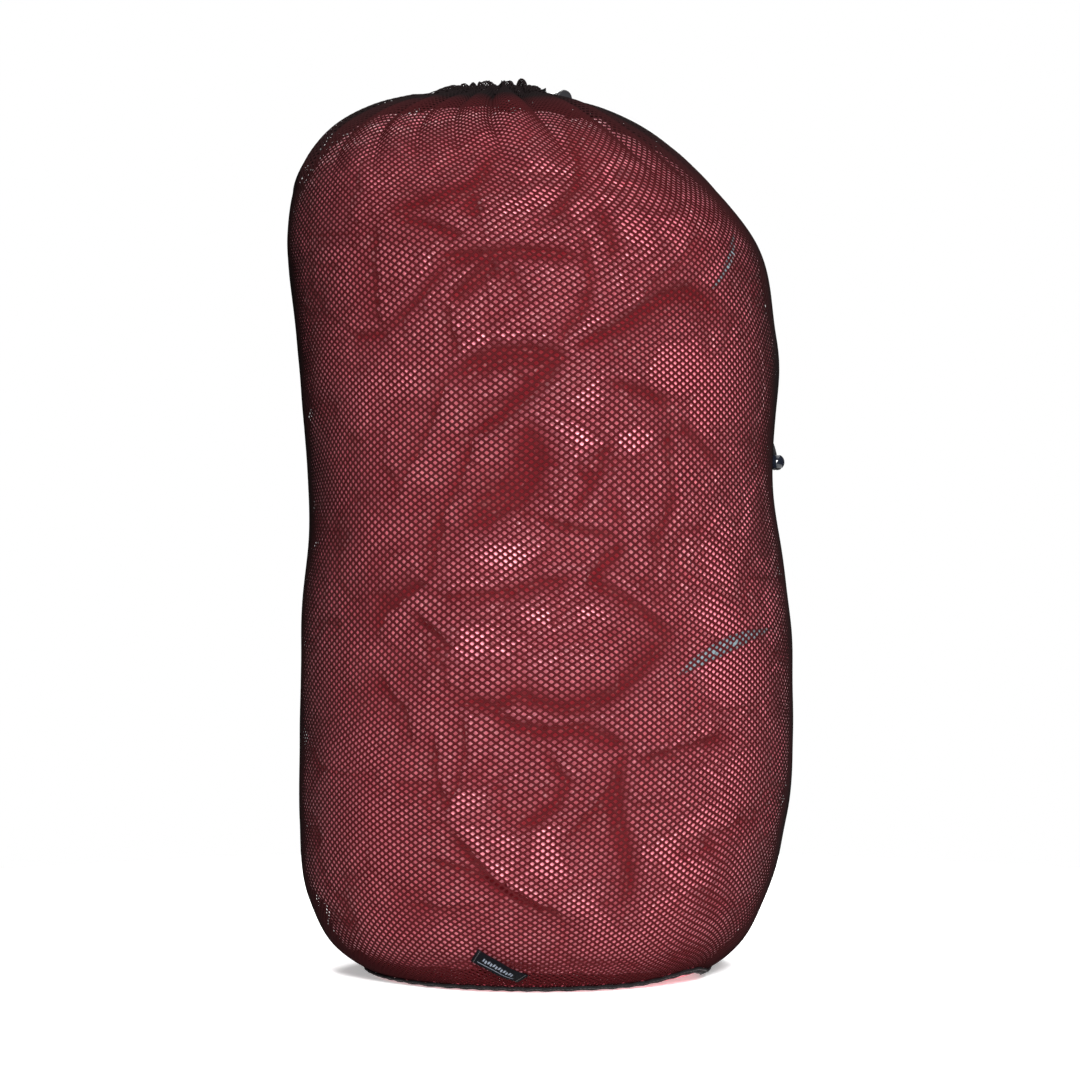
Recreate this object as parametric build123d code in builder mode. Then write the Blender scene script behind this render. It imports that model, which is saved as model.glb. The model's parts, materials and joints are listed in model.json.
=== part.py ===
"""A mesh drawstring sack, filled with a stuffed sleeping bag and drawn shut at its crown.

Millimetres, +Z up. The sack stands on its base: the origin is the centre of its footprint on the
floor, the front looks towards -Y and the drawcord leaves the mouth towards the back right.
"""

from build123d import *
from math import cos, hypot, pi, radians, sin, tan
import os

# Filled sack
FILLED_WIDTH = 391.0
FILLED_DEPTH = 372.0
CROWN_HEIGHT = 696.5
MESH_WALL = 1.2
BASE_WALL = 1.5
SEAM_HEIGHT = 10.0
SEAM_GAP = 0.3

# The filled form, floor to crown. Each ring: height and half width as shares of the full sizes,
# then how far its centre leans to the right and to the back, in millimetres.
FORM_RINGS = (
    (0.000, 0.660, -2, 0),
    (0.006, 0.720, -2, 0),
    (0.034, 0.850, -3, 0),
    (0.085, 0.930, -2, 0),
    (0.175, 0.987, 2, 0),
    (0.335, 1.000, 6, 0),
    (0.540, 0.959, 1, 0),
    (0.725, 0.974, -4, 0),
    (0.840, 0.954, -15, 1),
    (0.910, 0.824, -32, 4),
    (0.957, 0.670, -39, 9),
    (0.982, 0.490, -39, 12),
    (0.992, 0.310, -37, 14),
    (1.000, 0.159, -36, 14),
)

# Sewn trim
TRIM_GAP = 0.3
BINDING_THICK = 1.2
BINDING_WIDTH = 8.5
SEAM_TAPE_THICK = 0.9
SEAM_TAPE_WIDTH = 14.0
SEAM_TAPE_BOTTOM = 20.0
SEAM_TAPE_TOP = 640.0
LABEL_LENGTH = 42.0
LABEL_WIDTH = 12.0
LABEL_THICK = 0.6
LABEL_X = -31.0
LABEL_Z = 32.0
LABEL_TILT = -28.0

# Gathered mouth with its drawcord channel
MOUTH_X = -36.0
MOUTH_Y = 14.0
THROAT_RADIUS = 26.0
CHANNEL_RADIUS = 41.0
CHANNEL_HEIGHT = 13.7
CHANNEL_ROUND = 3.0
CHANNEL_INNER_WALL = 3.5
CHANNEL_OUTER_WALL = 4.0
TUNNEL_HEIGHT = 10.4
TUNNEL_ROUND = 2.0
LOOP_RADIUS = 32.0
LOOP_GAP_HALF_ANGLE = 14.0
EXIT_ANGLE = 25.0
EXIT_DIP = 8.0

# Drawcord
CORD_DIAMETER = 3.0
CORD_SPACING = 0.3
BEND_RADIUS = 3.0
CORD_HOLE_GAP = 0.5
TIGHT_RUN = 56.0

# Eyelet where the two tails leave the channel; distances run along the tails from their bend
PATCH_THICK = 0.6
PATCH_HALF_ANGLE = 13.0
PATCH_HEIGHT = 10.5
EYELET_CORD_GAP = 0.45
EYELET_WALL = 0.5
EYELET_LIP = 1.5
EYELET_SEAT = 0.83
EYELET_PROUD = 2.9
FLANGE_THICK = 1.0
WASHER_LIP = 0.6
WASHER_THICK = 0.8
EYELET_GAP = 0.2

# Spring cord lock, lying across the two tails
LOCK_STANDOFF = 3.5
LOCK_RADIUS = 7.0
LOCK_OPEN_END = 9.0
LOCK_CLOSED_END = -16.0
LOCK_FLOOR = 2.0
LOCK_BORE = 5.2
LOCK_ROUND = 1.6
PLUNGER_GAP = 0.25
PLUNGER_INNER_END = -6.5
PLUNGER_TRAVEL = 3.5
PINCH_GAP = 0.1
BUTTON_RADIUS = 5.9
BUTTON_THICK = 3.2
BUTTON_GAP = 0.6
BUTTON_ROUND = 0.7
SPRING_WIRE = 0.7
SPRING_BORE_GAP = 1.65
SPRING_TURNS = 4
SPRING_GAP = 0.25

# Bead on the tails' end, held by a knot
BEAD_RADIUS = 6.6
BEAD_CENTRE = Vector(191.4, 31.0, 407.0)
BEAD_CORD_GAP = 0.35
KNOT_OVER_PAIR = 1.05
KNOT_HEIGHT = 5.0
KNOT_ROUND = 1.6
KNOT_GAP = 0.35
KNOT_TOP_DROP = 1.3

# The tails' free routes after the tight run, over the crown's right side and down
FRONT_TAIL_ROUTE = (
    (70.5, 51.5, 680.5),
    (97.5, 52.5, 661.5),
    (124.0, 51.0, 638.0),
    (150.5, 48.0, 613.0),
    (173.0, 45.5, 583.0),
    (184.0, 42.5, 547.0),
    (187.0, 39.5, 510.0),
    (187.5, 36.5, 474.0),
    (189.0, 33.0, 443.0),
)
BACK_TAIL_ROUTE = (
    (71.0, 59.5, 679.0),
    (97.5, 63.0, 659.5),
    (122.5, 62.5, 636.5),
    (147.5, 59.5, 612.0),
    (169.5, 56.0, 584.0),
    (181.0, 51.5, 548.0),
    (184.5, 47.0, 511.0),
    (186.0, 42.5, 474.0),
    (188.0, 37.5, 442.0),
)

# Stuffed sleeping bag: its rings follow the form's lower ones, then close in a dome of their own
LINING_THICK = 0.9
LINING_GAP = 0.4
FILL_SIDE_RINGS = 12
FILL_DOME_RINGS = ((0.989, 0.330, -38, 13), (0.992, 0.130, -36, 14))
# Folds where the bag's lining shows: two ends of a lens and the rise of its two edges
LOWER_FOLD = ((112.0, 236.0), (186.0, 277.0), 2.0, 13.0)
UPPER_FOLD = ((138.0, 545.0), (157.0, 597.0), 4.0, 8.5)

binding_bottom = SEAM_HEIGHT - BINDING_WIDTH / 2
binding_top = SEAM_HEIGHT + BINDING_WIDTH / 2
fill_inset = MESH_WALL + 2 * LINING_GAP + LINING_THICK
channel_bottom = CROWN_HEIGHT + TRIM_GAP
tunnel_inner = THROAT_RADIUS + CHANNEL_INNER_WALL
tunnel_outer = CHANNEL_RADIUS - CHANNEL_OUTER_WALL
cord_height = channel_bottom + CHANNEL_HEIGHT / 2
cord_radius = CORD_DIAMETER / 2
pair_half = (CORD_DIAMETER + CORD_SPACING) / 2
pair_reach = pair_half + cord_radius
eyelet_bore = pair_reach + EYELET_CORD_GAP
eyelet_outer = eyelet_bore + EYELET_WALL
bead_bore = pair_reach + BEAD_CORD_GAP
knot_radius = pair_reach + KNOT_OVER_PAIR
spring_radius = LOCK_BORE - SPRING_BORE_GAP - SPRING_WIRE / 2

mouth_axis = Axis((MOUTH_X, MOUTH_Y, 0), (0, 0, 1))
across = Vector(-sin(radians(EXIT_ANGLE)), cos(radians(EXIT_ANGLE)), 0)
outward = Vector(
    cos(radians(EXIT_ANGLE)) * cos(radians(EXIT_DIP)),
    sin(radians(EXIT_ANGLE)) * cos(radians(EXIT_DIP)),
    -sin(radians(EXIT_DIP)),
)
loop_end_out = LOOP_RADIUS * cos(radians(LOOP_GAP_HALF_ANGLE))
loop_end_side = LOOP_RADIUS * sin(radians(LOOP_GAP_HALF_ANGLE))
bend_out = loop_end_out + (loop_end_side - pair_half) * tan(radians(LOOP_GAP_HALF_ANGLE))
eyelet_start = tunnel_outer - EYELET_SEAT - bend_out
eyelet_length = CHANNEL_OUTER_WALL + EYELET_PROUD
eyelet_end = eyelet_start + eyelet_length + FLANGE_THICK
lock_reach = eyelet_end + LOCK_STANDOFF + LOCK_RADIUS


def mouth_point(reach, angle):
    """A point at cord height, so far from the mouth's axis at this compass angle."""
    turn = radians(angle)
    return Vector(MOUTH_X + reach * cos(turn), MOUTH_Y + reach * sin(turn), cord_height)


def mouth_plane(angle):
    """Upright plane through the mouth's axis: x runs outwards, y runs up from cord height."""
    turn = radians(angle)
    return Plane(
        (MOUTH_X, MOUTH_Y, cord_height), (cos(turn), sin(turn), 0), (sin(turn), -cos(turn), 0)
    )


def exit_point(distance, side=0.0):
    """A point on the line of the tails, so far from their bend and off their middle."""
    return mouth_point(bend_out, EXIT_ANGLE) + outward * distance + across * side


def exit_plane(distance):
    """Plane square to the tails at this distance from their bend: x runs across them."""
    return Plane(exit_point(distance), across, outward)


def lock_plane(side):
    """Plane square to the cord lock's own axis, this far along it from the tails' middle."""
    return Plane(exit_point(lock_reach, side), outward, across)


def ring_sizes(ring):
    height, share, _, _ = ring
    return height * CROWN_HEIGHT, share * FILLED_WIDTH / 2, share * FILLED_DEPTH / 2


def form(grow, rings=FORM_RINGS):
    """Solid lofted through the rings, each moved out of the form by grow along its profile."""
    with BuildPart() as body:
        for number, ring in enumerate(rings):
            height, half_width, half_depth = ring_sizes(ring)
            lower = ring_sizes(rings[max(number - 1, 0)])
            upper = ring_sizes(rings[min(number + 1, len(rings) - 1)])
            rise, spread = upper[0] - lower[0], upper[1] - lower[1]
            steep = hypot(rise, spread)
            out, up = rise / steep, -spread / steep
            if number == 0:
                out, up = 0, -1
            if number == len(rings) - 1:
                out, up = 0, 1
            with BuildSketch(Plane((ring[2], ring[3], height + up * grow))):
                Ellipse(half_width + out * grow, half_depth + out * grow)
        loft()
    return body.part


def layer(inner, outer):
    """Skin of the form between two offsets of its surface."""
    with BuildPart() as skin:
        add(form(outer))
        add(form(inner), mode=Mode.SUBTRACT)
    return skin.part


def route_radii(points, first_radius):
    """Largest tangent arcs that the runs beside each corner leave room for."""
    radii = []
    for before, corner, after in zip(points, points[1:], points[2:]):
        run_in, run_out = corner - before, after - corner
        turn = radians(run_in.get_angle(run_out))
        radii.append(0.45 * min(run_in.length, run_out.length) / tan(turn / 2))
    return [min(first_radius, radii[0])] + radii[1:]


def cord_tube(points, first_radius):
    """Round tube along straight runs joined by tangent arcs."""
    radii = route_radii(points, first_radius)
    with BuildPart() as tube:
        with BuildLine() as route:
            FilletPolyline(*points, radius=radii)
        path = route.wires()[0]
        with BuildSketch(path ^ 0):
            Circle(cord_radius)
        sweep(path=path)
    ideal = path.length * pi * cord_radius**2
    print(f"cord {path.length:.1f} long, volume {tube.part.volume / ideal:.4f} of ideal")
    print("radii", [round(radius, 1) for radius in radii])
    return tube.part


def lens_prism(ends_and_rises):
    """Prism towards the front over a lens drawn between two points of the front view."""
    start, end, lower_rise, upper_rise = ends_and_rises
    with BuildPart() as prism:
        with BuildSketch(Plane.XZ):
            with BuildLine():
                SagittaArc(start, end, lower_rise)
                SagittaArc(start, end, upper_rise)
            make_face()
        extrude(amount=FILLED_DEPTH)
    return prism.part


# --- mesh wall, from the base seam to the gathered mouth ---------------------------------------
with BuildPart() as mesh_body:
    add(layer(-MESH_WALL, 0))
    split(bisect_by=Plane.XY.offset(SEAM_HEIGHT + SEAM_GAP / 2), keep=Keep.TOP)
    with BuildSketch(Plane((MOUTH_X, MOUTH_Y, CROWN_HEIGHT))):
        Circle(THROAT_RADIUS)
    extrude(amount=CHANNEL_HEIGHT, both=True, mode=Mode.SUBTRACT)

# --- nylon base panel, a shallow dish up to the seam -------------------------------------------
with BuildPart() as base_panel:
    add(layer(-BASE_WALL, 0))
    split(bisect_by=Plane.XY.offset(SEAM_HEIGHT - SEAM_GAP / 2), keep=Keep.BOTTOM)

# --- tape bound over the base seam -------------------------------------------------------------
with BuildPart() as base_binding:
    add(layer(TRIM_GAP, TRIM_GAP + BINDING_THICK))
    split(bisect_by=Plane.XY.offset(binding_top), keep=Keep.BOTTOM)
    split(bisect_by=Plane.XY.offset(binding_bottom), keep=Keep.TOP)

# --- tape up the back where the mesh is joined into a tube -------------------------------------
with BuildPart() as back_seam_tape:
    add(layer(TRIM_GAP, TRIM_GAP + SEAM_TAPE_THICK))
    with BuildSketch(Plane.XZ):
        with Locations((0, (SEAM_TAPE_BOTTOM + SEAM_TAPE_TOP) / 2)):
            Rectangle(SEAM_TAPE_WIDTH, SEAM_TAPE_TOP - SEAM_TAPE_BOTTOM)
    extrude(amount=-FILLED_DEPTH, mode=Mode.INTERSECT)

# --- woven label near the foot of the front ----------------------------------------------------
with BuildPart() as woven_label:
    add(layer(TRIM_GAP, TRIM_GAP + LABEL_THICK))
    with BuildSketch(Plane.XZ):
        with Locations((LABEL_X, LABEL_Z)):
            Rectangle(LABEL_LENGTH, LABEL_WIDTH, rotation=LABEL_TILT)
    extrude(amount=FILLED_DEPTH, mode=Mode.INTERSECT)

# --- gathered hem around the mouth, hollow for the drawcord ------------------------------------
with BuildPart() as drawcord_channel:
    with BuildSketch(mouth_plane(EXIT_ANGLE)):
        with Locations(((THROAT_RADIUS + CHANNEL_RADIUS) / 2, 0)):
            RectangleRounded(CHANNEL_RADIUS - THROAT_RADIUS, CHANNEL_HEIGHT, CHANNEL_ROUND)
        with Locations(((tunnel_inner + tunnel_outer) / 2, 0)):
            RectangleRounded(
                tunnel_outer - tunnel_inner, TUNNEL_HEIGHT, TUNNEL_ROUND, mode=Mode.SUBTRACT
            )
    revolve(axis=mouth_axis)
    with BuildSketch(exit_plane(eyelet_start)):
        Circle(eyelet_outer + EYELET_GAP)
    extrude(amount=eyelet_length, mode=Mode.SUBTRACT)

# --- reinforcing patch round the exit ----------------------------------------------------------
with BuildPart() as exit_patch:
    with BuildSketch(mouth_plane(EXIT_ANGLE - PATCH_HALF_ANGLE)):
        with Locations((CHANNEL_RADIUS + EYELET_GAP + PATCH_THICK / 2, 0)):
            Rectangle(PATCH_THICK, PATCH_HEIGHT)
    revolve(axis=mouth_axis, revolution_arc=2 * PATCH_HALF_ANGLE)
    with BuildSketch(exit_plane(eyelet_start)):
        Circle(eyelet_outer + EYELET_GAP)
    extrude(amount=eyelet_length, mode=Mode.SUBTRACT)

# --- eyelet and its washer ---------------------------------------------------------------------
with BuildPart() as eyelet:
    with BuildSketch(exit_plane(eyelet_start)):
        Circle(eyelet_outer)
        Circle(eyelet_bore, mode=Mode.SUBTRACT)
    extrude(amount=eyelet_length)
    with BuildSketch(exit_plane(eyelet_start + eyelet_length)):
        Circle(eyelet_outer + EYELET_LIP)
        Circle(eyelet_bore, mode=Mode.SUBTRACT)
    extrude(amount=FLANGE_THICK)
    flange_rim = eyelet.edges().filter_by(GeomType.CIRCLE).sort_by(SortBy.RADIUS)[-2:]
    fillet(flange_rim, FLANGE_THICK * 0.45)

with BuildPart() as eyelet_washer:
    with BuildSketch(exit_plane(eyelet_start - EYELET_GAP - WASHER_THICK)):
        Circle(eyelet_outer + WASHER_LIP)
        Circle(eyelet_bore, mode=Mode.SUBTRACT)
    extrude(amount=WASHER_THICK)

# --- drawcord: the loop inside the channel, then its two tails ---------------------------------
with BuildPart() as drawcord_loop:
    with BuildSketch(mouth_plane(EXIT_ANGLE + LOOP_GAP_HALF_ANGLE)):
        with Locations((LOOP_RADIUS, 0)):
            Circle(cord_radius)
    revolve(axis=mouth_axis, revolution_arc=360 - 2 * LOOP_GAP_HALF_ANGLE)

knot_top = BEAD_CENTRE.Z - KNOT_TOP_DROP
bead_top = BEAD_CENTRE.Z + 2 * BEAD_RADIUS
tails = {}
for name, side, route in (("front", -1, FRONT_TAIL_ROUTE), ("back", 1, BACK_TAIL_ROUTE)):
    bead_side = BEAD_CENTRE.Y + side * pair_half
    corners = [
        mouth_point(LOOP_RADIUS, EXIT_ANGLE + side * LOOP_GAP_HALF_ANGLE),
        exit_point(0, side * pair_half),
        exit_point(TIGHT_RUN, side * pair_half),
        *[Vector(*place) for place in route],
        Vector(BEAD_CENTRE.X, bead_side, bead_top),
        Vector(BEAD_CENTRE.X, bead_side, knot_top),
    ]
    tails[name] = cord_tube(corners, BEND_RADIUS)

# --- cord lock: barrel, plunger with its button, and spring ------------------------------------
with BuildPart() as lock_barrel:
    with BuildSketch(lock_plane(LOCK_CLOSED_END)):
        Circle(LOCK_RADIUS)
    extrude(amount=LOCK_OPEN_END - LOCK_CLOSED_END)
    fillet(lock_barrel.edges().filter_by(GeomType.CIRCLE), LOCK_ROUND)
    with BuildSketch(lock_plane(LOCK_CLOSED_END + LOCK_FLOOR)):
        Circle(LOCK_BORE)
    extrude(amount=LOCK_OPEN_END - LOCK_CLOSED_END, mode=Mode.SUBTRACT)
    with BuildSketch(exit_plane(lock_reach)):
        SlotOverall(2 * (pair_reach + CORD_HOLE_GAP), 2 * (cord_radius + CORD_HOLE_GAP))
    extrude(amount=2 * LOCK_RADIUS, both=True, mode=Mode.SUBTRACT)

slot_start = -pair_reach - PINCH_GAP
slot_end = pair_reach + PLUNGER_TRAVEL + PINCH_GAP
button_start = LOCK_OPEN_END + PLUNGER_TRAVEL + BUTTON_GAP
with BuildPart() as lock_plunger:
    with BuildSketch(lock_plane(PLUNGER_INNER_END)):
        Circle(LOCK_BORE - PLUNGER_GAP)
    extrude(amount=button_start - PLUNGER_INNER_END)
    with BuildSketch(lock_plane(button_start)):
        Circle(BUTTON_RADIUS)
    extrude(amount=BUTTON_THICK)
    button_rim = lock_plunger.edges().filter_by(GeomType.CIRCLE).sort_by(SortBy.RADIUS)[-2:]
    fillet(button_rim, BUTTON_ROUND)
    with BuildSketch(exit_plane(lock_reach)):
        with Locations(((slot_start + slot_end) / 2, 0)):
            SlotOverall(slot_end - slot_start, 2 * (cord_radius + CORD_HOLE_GAP))
    extrude(amount=2 * LOCK_RADIUS, both=True, mode=Mode.SUBTRACT)

spring_start = LOCK_CLOSED_END + LOCK_FLOOR + SPRING_GAP + SPRING_WIRE / 2
spring_height = PLUNGER_INNER_END - SPRING_GAP - SPRING_WIRE / 2 - spring_start
with BuildPart() as lock_spring:
    with BuildLine() as coil:
        Helix(
            spring_height / SPRING_TURNS, spring_height, spring_radius,
            center=exit_point(lock_reach, spring_start), direction=across,
        )
    wire_path = coil.wires()[0]
    with BuildSketch(wire_path ^ 0):
        Circle(SPRING_WIRE / 2)
    sweep(path=wire_path, is_frenet=True)

# --- bead and the knot that holds it -----------------------------------------------------------
knot_base = Plane((BEAD_CENTRE.X, BEAD_CENTRE.Y, knot_top - KNOT_HEIGHT))
with BuildPart() as cord_end_bead:
    with Locations(BEAD_CENTRE):
        Sphere(BEAD_RADIUS)
    with BuildSketch(Plane(BEAD_CENTRE)):
        Circle(bead_bore)
    extrude(amount=2 * BEAD_RADIUS, both=True, mode=Mode.SUBTRACT)
    with BuildSketch(Plane((BEAD_CENTRE.X, BEAD_CENTRE.Y, knot_top + KNOT_GAP))):
        Circle(knot_radius + KNOT_GAP)
    extrude(amount=-2 * BEAD_RADIUS, mode=Mode.SUBTRACT)

with BuildPart() as cord_end_knot:
    with BuildSketch(knot_base):
        Circle(knot_radius)
    extrude(amount=KNOT_HEIGHT)
    fillet(cord_end_knot.edges().filter_by(GeomType.CIRCLE), KNOT_ROUND)

# --- what the sack holds -----------------------------------------------------------------------
with BuildPart() as sleeping_bag:
    add(form(-fill_inset, FORM_RINGS[:FILL_SIDE_RINGS] + FILL_DOME_RINGS))

lining_folds = {}
for name, lens in (("lower", LOWER_FOLD), ("upper", UPPER_FOLD)):
    with BuildPart() as fold:
        add(layer(-MESH_WALL - LINING_GAP - LINING_THICK, -MESH_WALL - LINING_GAP))
        add(lens_prism(lens), mode=Mode.INTERSECT)
    lining_folds[name] = fold.part

os.makedirs("parts", exist_ok=True)
pieces = {
    "mesh_body": mesh_body.part,
    "base_panel": base_panel.part,
    "base_binding": base_binding.part,
    "back_seam_tape": back_seam_tape.part,
    "woven_label": woven_label.part,
    "drawcord_channel": drawcord_channel.part,
    "exit_patch": exit_patch.part,
    "eyelet": eyelet.part,
    "eyelet_washer": eyelet_washer.part,
    "drawcord_loop": drawcord_loop.part,
    "drawcord_tail_front": tails["front"],
    "drawcord_tail_back": tails["back"],
    "lock_barrel": lock_barrel.part,
    "lock_plunger": lock_plunger.part,
    "lock_spring": lock_spring.part,
    "cord_end_bead": cord_end_bead.part,
    "cord_end_knot": cord_end_knot.part,
    "sleeping_bag": sleeping_bag.part,
    "lining_fold_lower": lining_folds["lower"],
    "lining_fold_upper": lining_folds["upper"],
}
for name, piece in pieces.items():
    piece.label = name
    export_step(piece, f"parts/{name}.step")
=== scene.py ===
"""Looks of a knit-mesh drawstring sack that holds a stuffed sleeping bag.

Metres, +Z up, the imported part's own frame: the front looks towards -Y, the sack stands on z = 0 and
its drawn mouth sits a little left of the middle.
"""

import json
import logging
import math
import sys
from dataclasses import dataclass, field
from enum import Enum
from typing import Iterable, Optional, Sequence

import bmesh
import bpy
import numpy as np
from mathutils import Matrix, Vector

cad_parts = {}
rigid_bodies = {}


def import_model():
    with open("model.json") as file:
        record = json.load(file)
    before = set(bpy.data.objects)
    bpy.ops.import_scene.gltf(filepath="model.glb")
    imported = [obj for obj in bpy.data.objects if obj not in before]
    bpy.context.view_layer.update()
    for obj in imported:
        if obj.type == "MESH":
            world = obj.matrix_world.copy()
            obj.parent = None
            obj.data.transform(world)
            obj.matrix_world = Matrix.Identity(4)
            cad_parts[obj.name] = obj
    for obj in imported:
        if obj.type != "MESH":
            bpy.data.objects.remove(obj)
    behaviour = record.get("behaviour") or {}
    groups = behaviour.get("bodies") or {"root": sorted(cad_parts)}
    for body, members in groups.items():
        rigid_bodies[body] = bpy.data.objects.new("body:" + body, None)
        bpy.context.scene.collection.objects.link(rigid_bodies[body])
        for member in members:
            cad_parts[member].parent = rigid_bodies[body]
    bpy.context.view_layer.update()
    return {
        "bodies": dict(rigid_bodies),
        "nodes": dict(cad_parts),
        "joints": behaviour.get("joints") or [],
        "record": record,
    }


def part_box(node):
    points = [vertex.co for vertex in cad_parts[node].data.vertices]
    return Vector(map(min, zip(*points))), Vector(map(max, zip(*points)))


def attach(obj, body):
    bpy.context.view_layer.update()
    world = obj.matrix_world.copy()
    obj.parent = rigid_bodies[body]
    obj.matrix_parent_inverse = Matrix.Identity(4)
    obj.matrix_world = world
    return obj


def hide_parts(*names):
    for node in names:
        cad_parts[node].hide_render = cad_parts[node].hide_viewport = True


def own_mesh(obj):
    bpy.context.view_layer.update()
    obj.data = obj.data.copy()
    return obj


LOG = logging.getLogger("mesh_sack")
MM = 0.001
TURN = 2 * math.pi
EYE_BACK = 2.5
EYE_HEIGHT = 0.344
EXIT_ANGLE = math.radians(25)

Colour = tuple[float, float, float]
Point = tuple[float, float, float]


class Body(Enum):
    """The bodies that the pieces made here ride on, as the joints know them."""

    SACK = "sack"
    LOCK = "cord_lock"


class Slot(Enum):
    """Material slots of the record that the pieces made here stand for."""

    NET = "knit_mesh"
    NYLON = "red_nylon"
    TAPE = "black_tape"
    LABEL = "woven_label"
    HEM = "gathered_hem"
    CORD = "drawcord"
    SPRING = "spring_steel"
    SHELL = "bag_shell"
    LINING = "bag_lining"


# --- numbers on surfaces -----------------------------------------------------------------------


def smooth_curve(knots: np.ndarray, values: np.ndarray, at: np.ndarray) -> np.ndarray:
    """Cubic curve through rows of values.

    Args:
        knots: Rising parameter of each row.
        values: One row per knot.
        at: Parameters to read the curve at, of any shape.

    Returns:
        The values there, with one more axis than at.
    """
    step = np.diff(knots)
    slope = np.diff(values, axis=0) / step[:, None]
    joint = (step[:-1] + step[1:])[:, None]
    inner = (slope[:-1] * step[1:, None] + slope[1:] * step[:-1, None]) / joint
    tangent = np.vstack([slope[:1], inner, slope[-1:]])
    cell = np.clip(np.searchsorted(knots, at, side="right") - 1, 0, len(step) - 1)
    span = step[cell][..., None]
    t = ((at - knots[cell]) / step[cell])[..., None]
    rise = values[cell + 1] - values[cell]
    near, far = tangent[cell] * span, tangent[cell + 1] * span
    return values[cell] + t * (near + t * ((3 * rise - 2 * near - far) + t * (near + far - 2 * rise)))


def ease(value: np.ndarray, low: float, high: float) -> np.ndarray:
    """Smooth step from 0 at low to 1 at high, either way round."""
    t = np.clip((value - low) / (high - low), 0, 1)
    return t * t * (3 - 2 * t)


def unit(vectors: np.ndarray) -> np.ndarray:
    """The vectors scaled to length 1."""
    return vectors / np.maximum(np.linalg.norm(vectors, axis=-1, keepdims=True), 1e-12)


@dataclass(frozen=True)
class Ripple:
    """Seeded smooth waviness over the sack's skin, closed around it.

    Fields hold the seed, the number of waves, the largest count of waves around and the shortest
    wavelength along the profile.
    """

    seed: int
    waves: int = 40
    around: int = 9
    shortest: float = 0.09

    def at(self, angle: np.ndarray, along: np.ndarray) -> np.ndarray:
        """Waviness of about -1 to 1.

        Args:
            angle: Angle around the sack.
            along: Length along its profile.

        Returns:
            One value per pair of arguments.
        """
        rng = np.random.default_rng(self.seed)
        total = np.zeros(np.broadcast(angle, along).shape)
        for _ in range(self.waves):
            turns = int(rng.integers(-self.around, self.around + 1))
            pace = rng.uniform(0, TURN / self.shortest)
            phase = rng.uniform(0, TURN)
            total += np.cos(turns * angle + pace * along + phase)
        return total / math.sqrt(self.waves)


@dataclass(frozen=True)
class SackForm:
    """The filled sack's outer form, as elliptical rings from the floor to the mouth.

    A ring is its height and half width as shares of the full sizes, then its lean to the right and
    to the back in millimetres.
    """

    width: float = 0.391
    depth: float = 0.372
    height: float = 0.6965
    rings: tuple[tuple[float, float, float, float], ...] = (
        (0.000, 0.630, -2, 0),
        (0.006, 0.692, -2, 0),
        (0.034, 0.832, -3, 0),
        (0.085, 0.930, -2, 0),
        (0.175, 0.987, 2, 0),
        (0.335, 1.000, 6, 0),
        (0.540, 0.959, 1, 0),
        (0.725, 0.974, -4, 0),
        (0.840, 0.954, -15, 1),
        (0.910, 0.824, -32, 4),
        (0.956, 0.656, -41, 9),
        (0.982, 0.480, -41, 12),
        (0.995, 0.300, -38, 14),
        (1.002, 0.159, -36, 14),
    )

    def _table(self) -> tuple[np.ndarray, np.ndarray]:
        """Profile length and (height, half width, half depth, lean x, lean y) of each ring."""
        rows = np.array(self.rings)
        table = np.column_stack(
            [
                rows[:, 0] * self.height,
                rows[:, 1] * self.width / 2,
                rows[:, 1] * self.depth / 2,
                rows[:, 2] * MM,
                rows[:, 3] * MM,
            ]
        )
        step = np.hypot(np.diff(table[:, 0]), np.diff(table[:, 1]))
        return np.concatenate([[0], np.cumsum(step)]), table

    def length(self) -> float:
        """Length of the profile from the floor to the mouth."""
        return float(self._table()[0][-1])

    def ring(self, along: np.ndarray) -> np.ndarray:
        """Rows of (height, half width, half depth, lean x, lean y) at lengths along the profile."""
        knots, table = self._table()
        return smooth_curve(knots, table, np.clip(along, 0, knots[-1]))

    def along(self, height: float) -> float:
        """Length along the profile at which the form reaches this height."""
        dense = np.linspace(0, self.length(), 2000)
        return float(np.interp(height, self.ring(dense)[:, 0], dense))

    def points(self, angle: np.ndarray, along: np.ndarray) -> np.ndarray:
        """Points of the form at angles around it and lengths along its profile."""
        angle, along = np.broadcast_arrays(angle, along)
        ring = self.ring(along)
        return np.stack(
            [
                ring[..., 3] + ring[..., 1] * np.cos(angle),
                ring[..., 4] + ring[..., 2] * np.sin(angle),
                ring[..., 0],
            ],
            axis=-1,
        )

    def tangents(self, angle: np.ndarray, along: np.ndarray) -> tuple[np.ndarray, np.ndarray]:
        """Change of place per metre up the profile and per radian around, as points() has it."""
        step, turn = 0.002, 0.004
        low, high = np.maximum(along - step, 0), np.minimum(along + step, self.length())
        climb = (self.points(angle, high) - self.points(angle, low)) / (high - low)[..., None]
        round_it = self.points(angle + turn, along) - self.points(angle - turn, along)
        return climb, round_it / (2 * turn)

    def normals(self, angle: np.ndarray, along: np.ndarray) -> np.ndarray:
        """Outward directions of the form at the same places as points()."""
        climb, round_it = self.tangents(angle, along)
        return unit(np.cross(round_it, climb))

    def front_site(self, x: float, z: float) -> tuple[np.ndarray, np.ndarray]:
        """Angle and profile length of the place on the front at this x and height."""
        along = self.along(z)
        ring = self.ring(np.array([along]))[0]
        share = max(-0.999, min(0.999, (x - ring[3]) / ring[1]))
        return np.array([-math.acos(share)]), np.array([along])


# --- node trees --------------------------------------------------------------------------------


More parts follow.
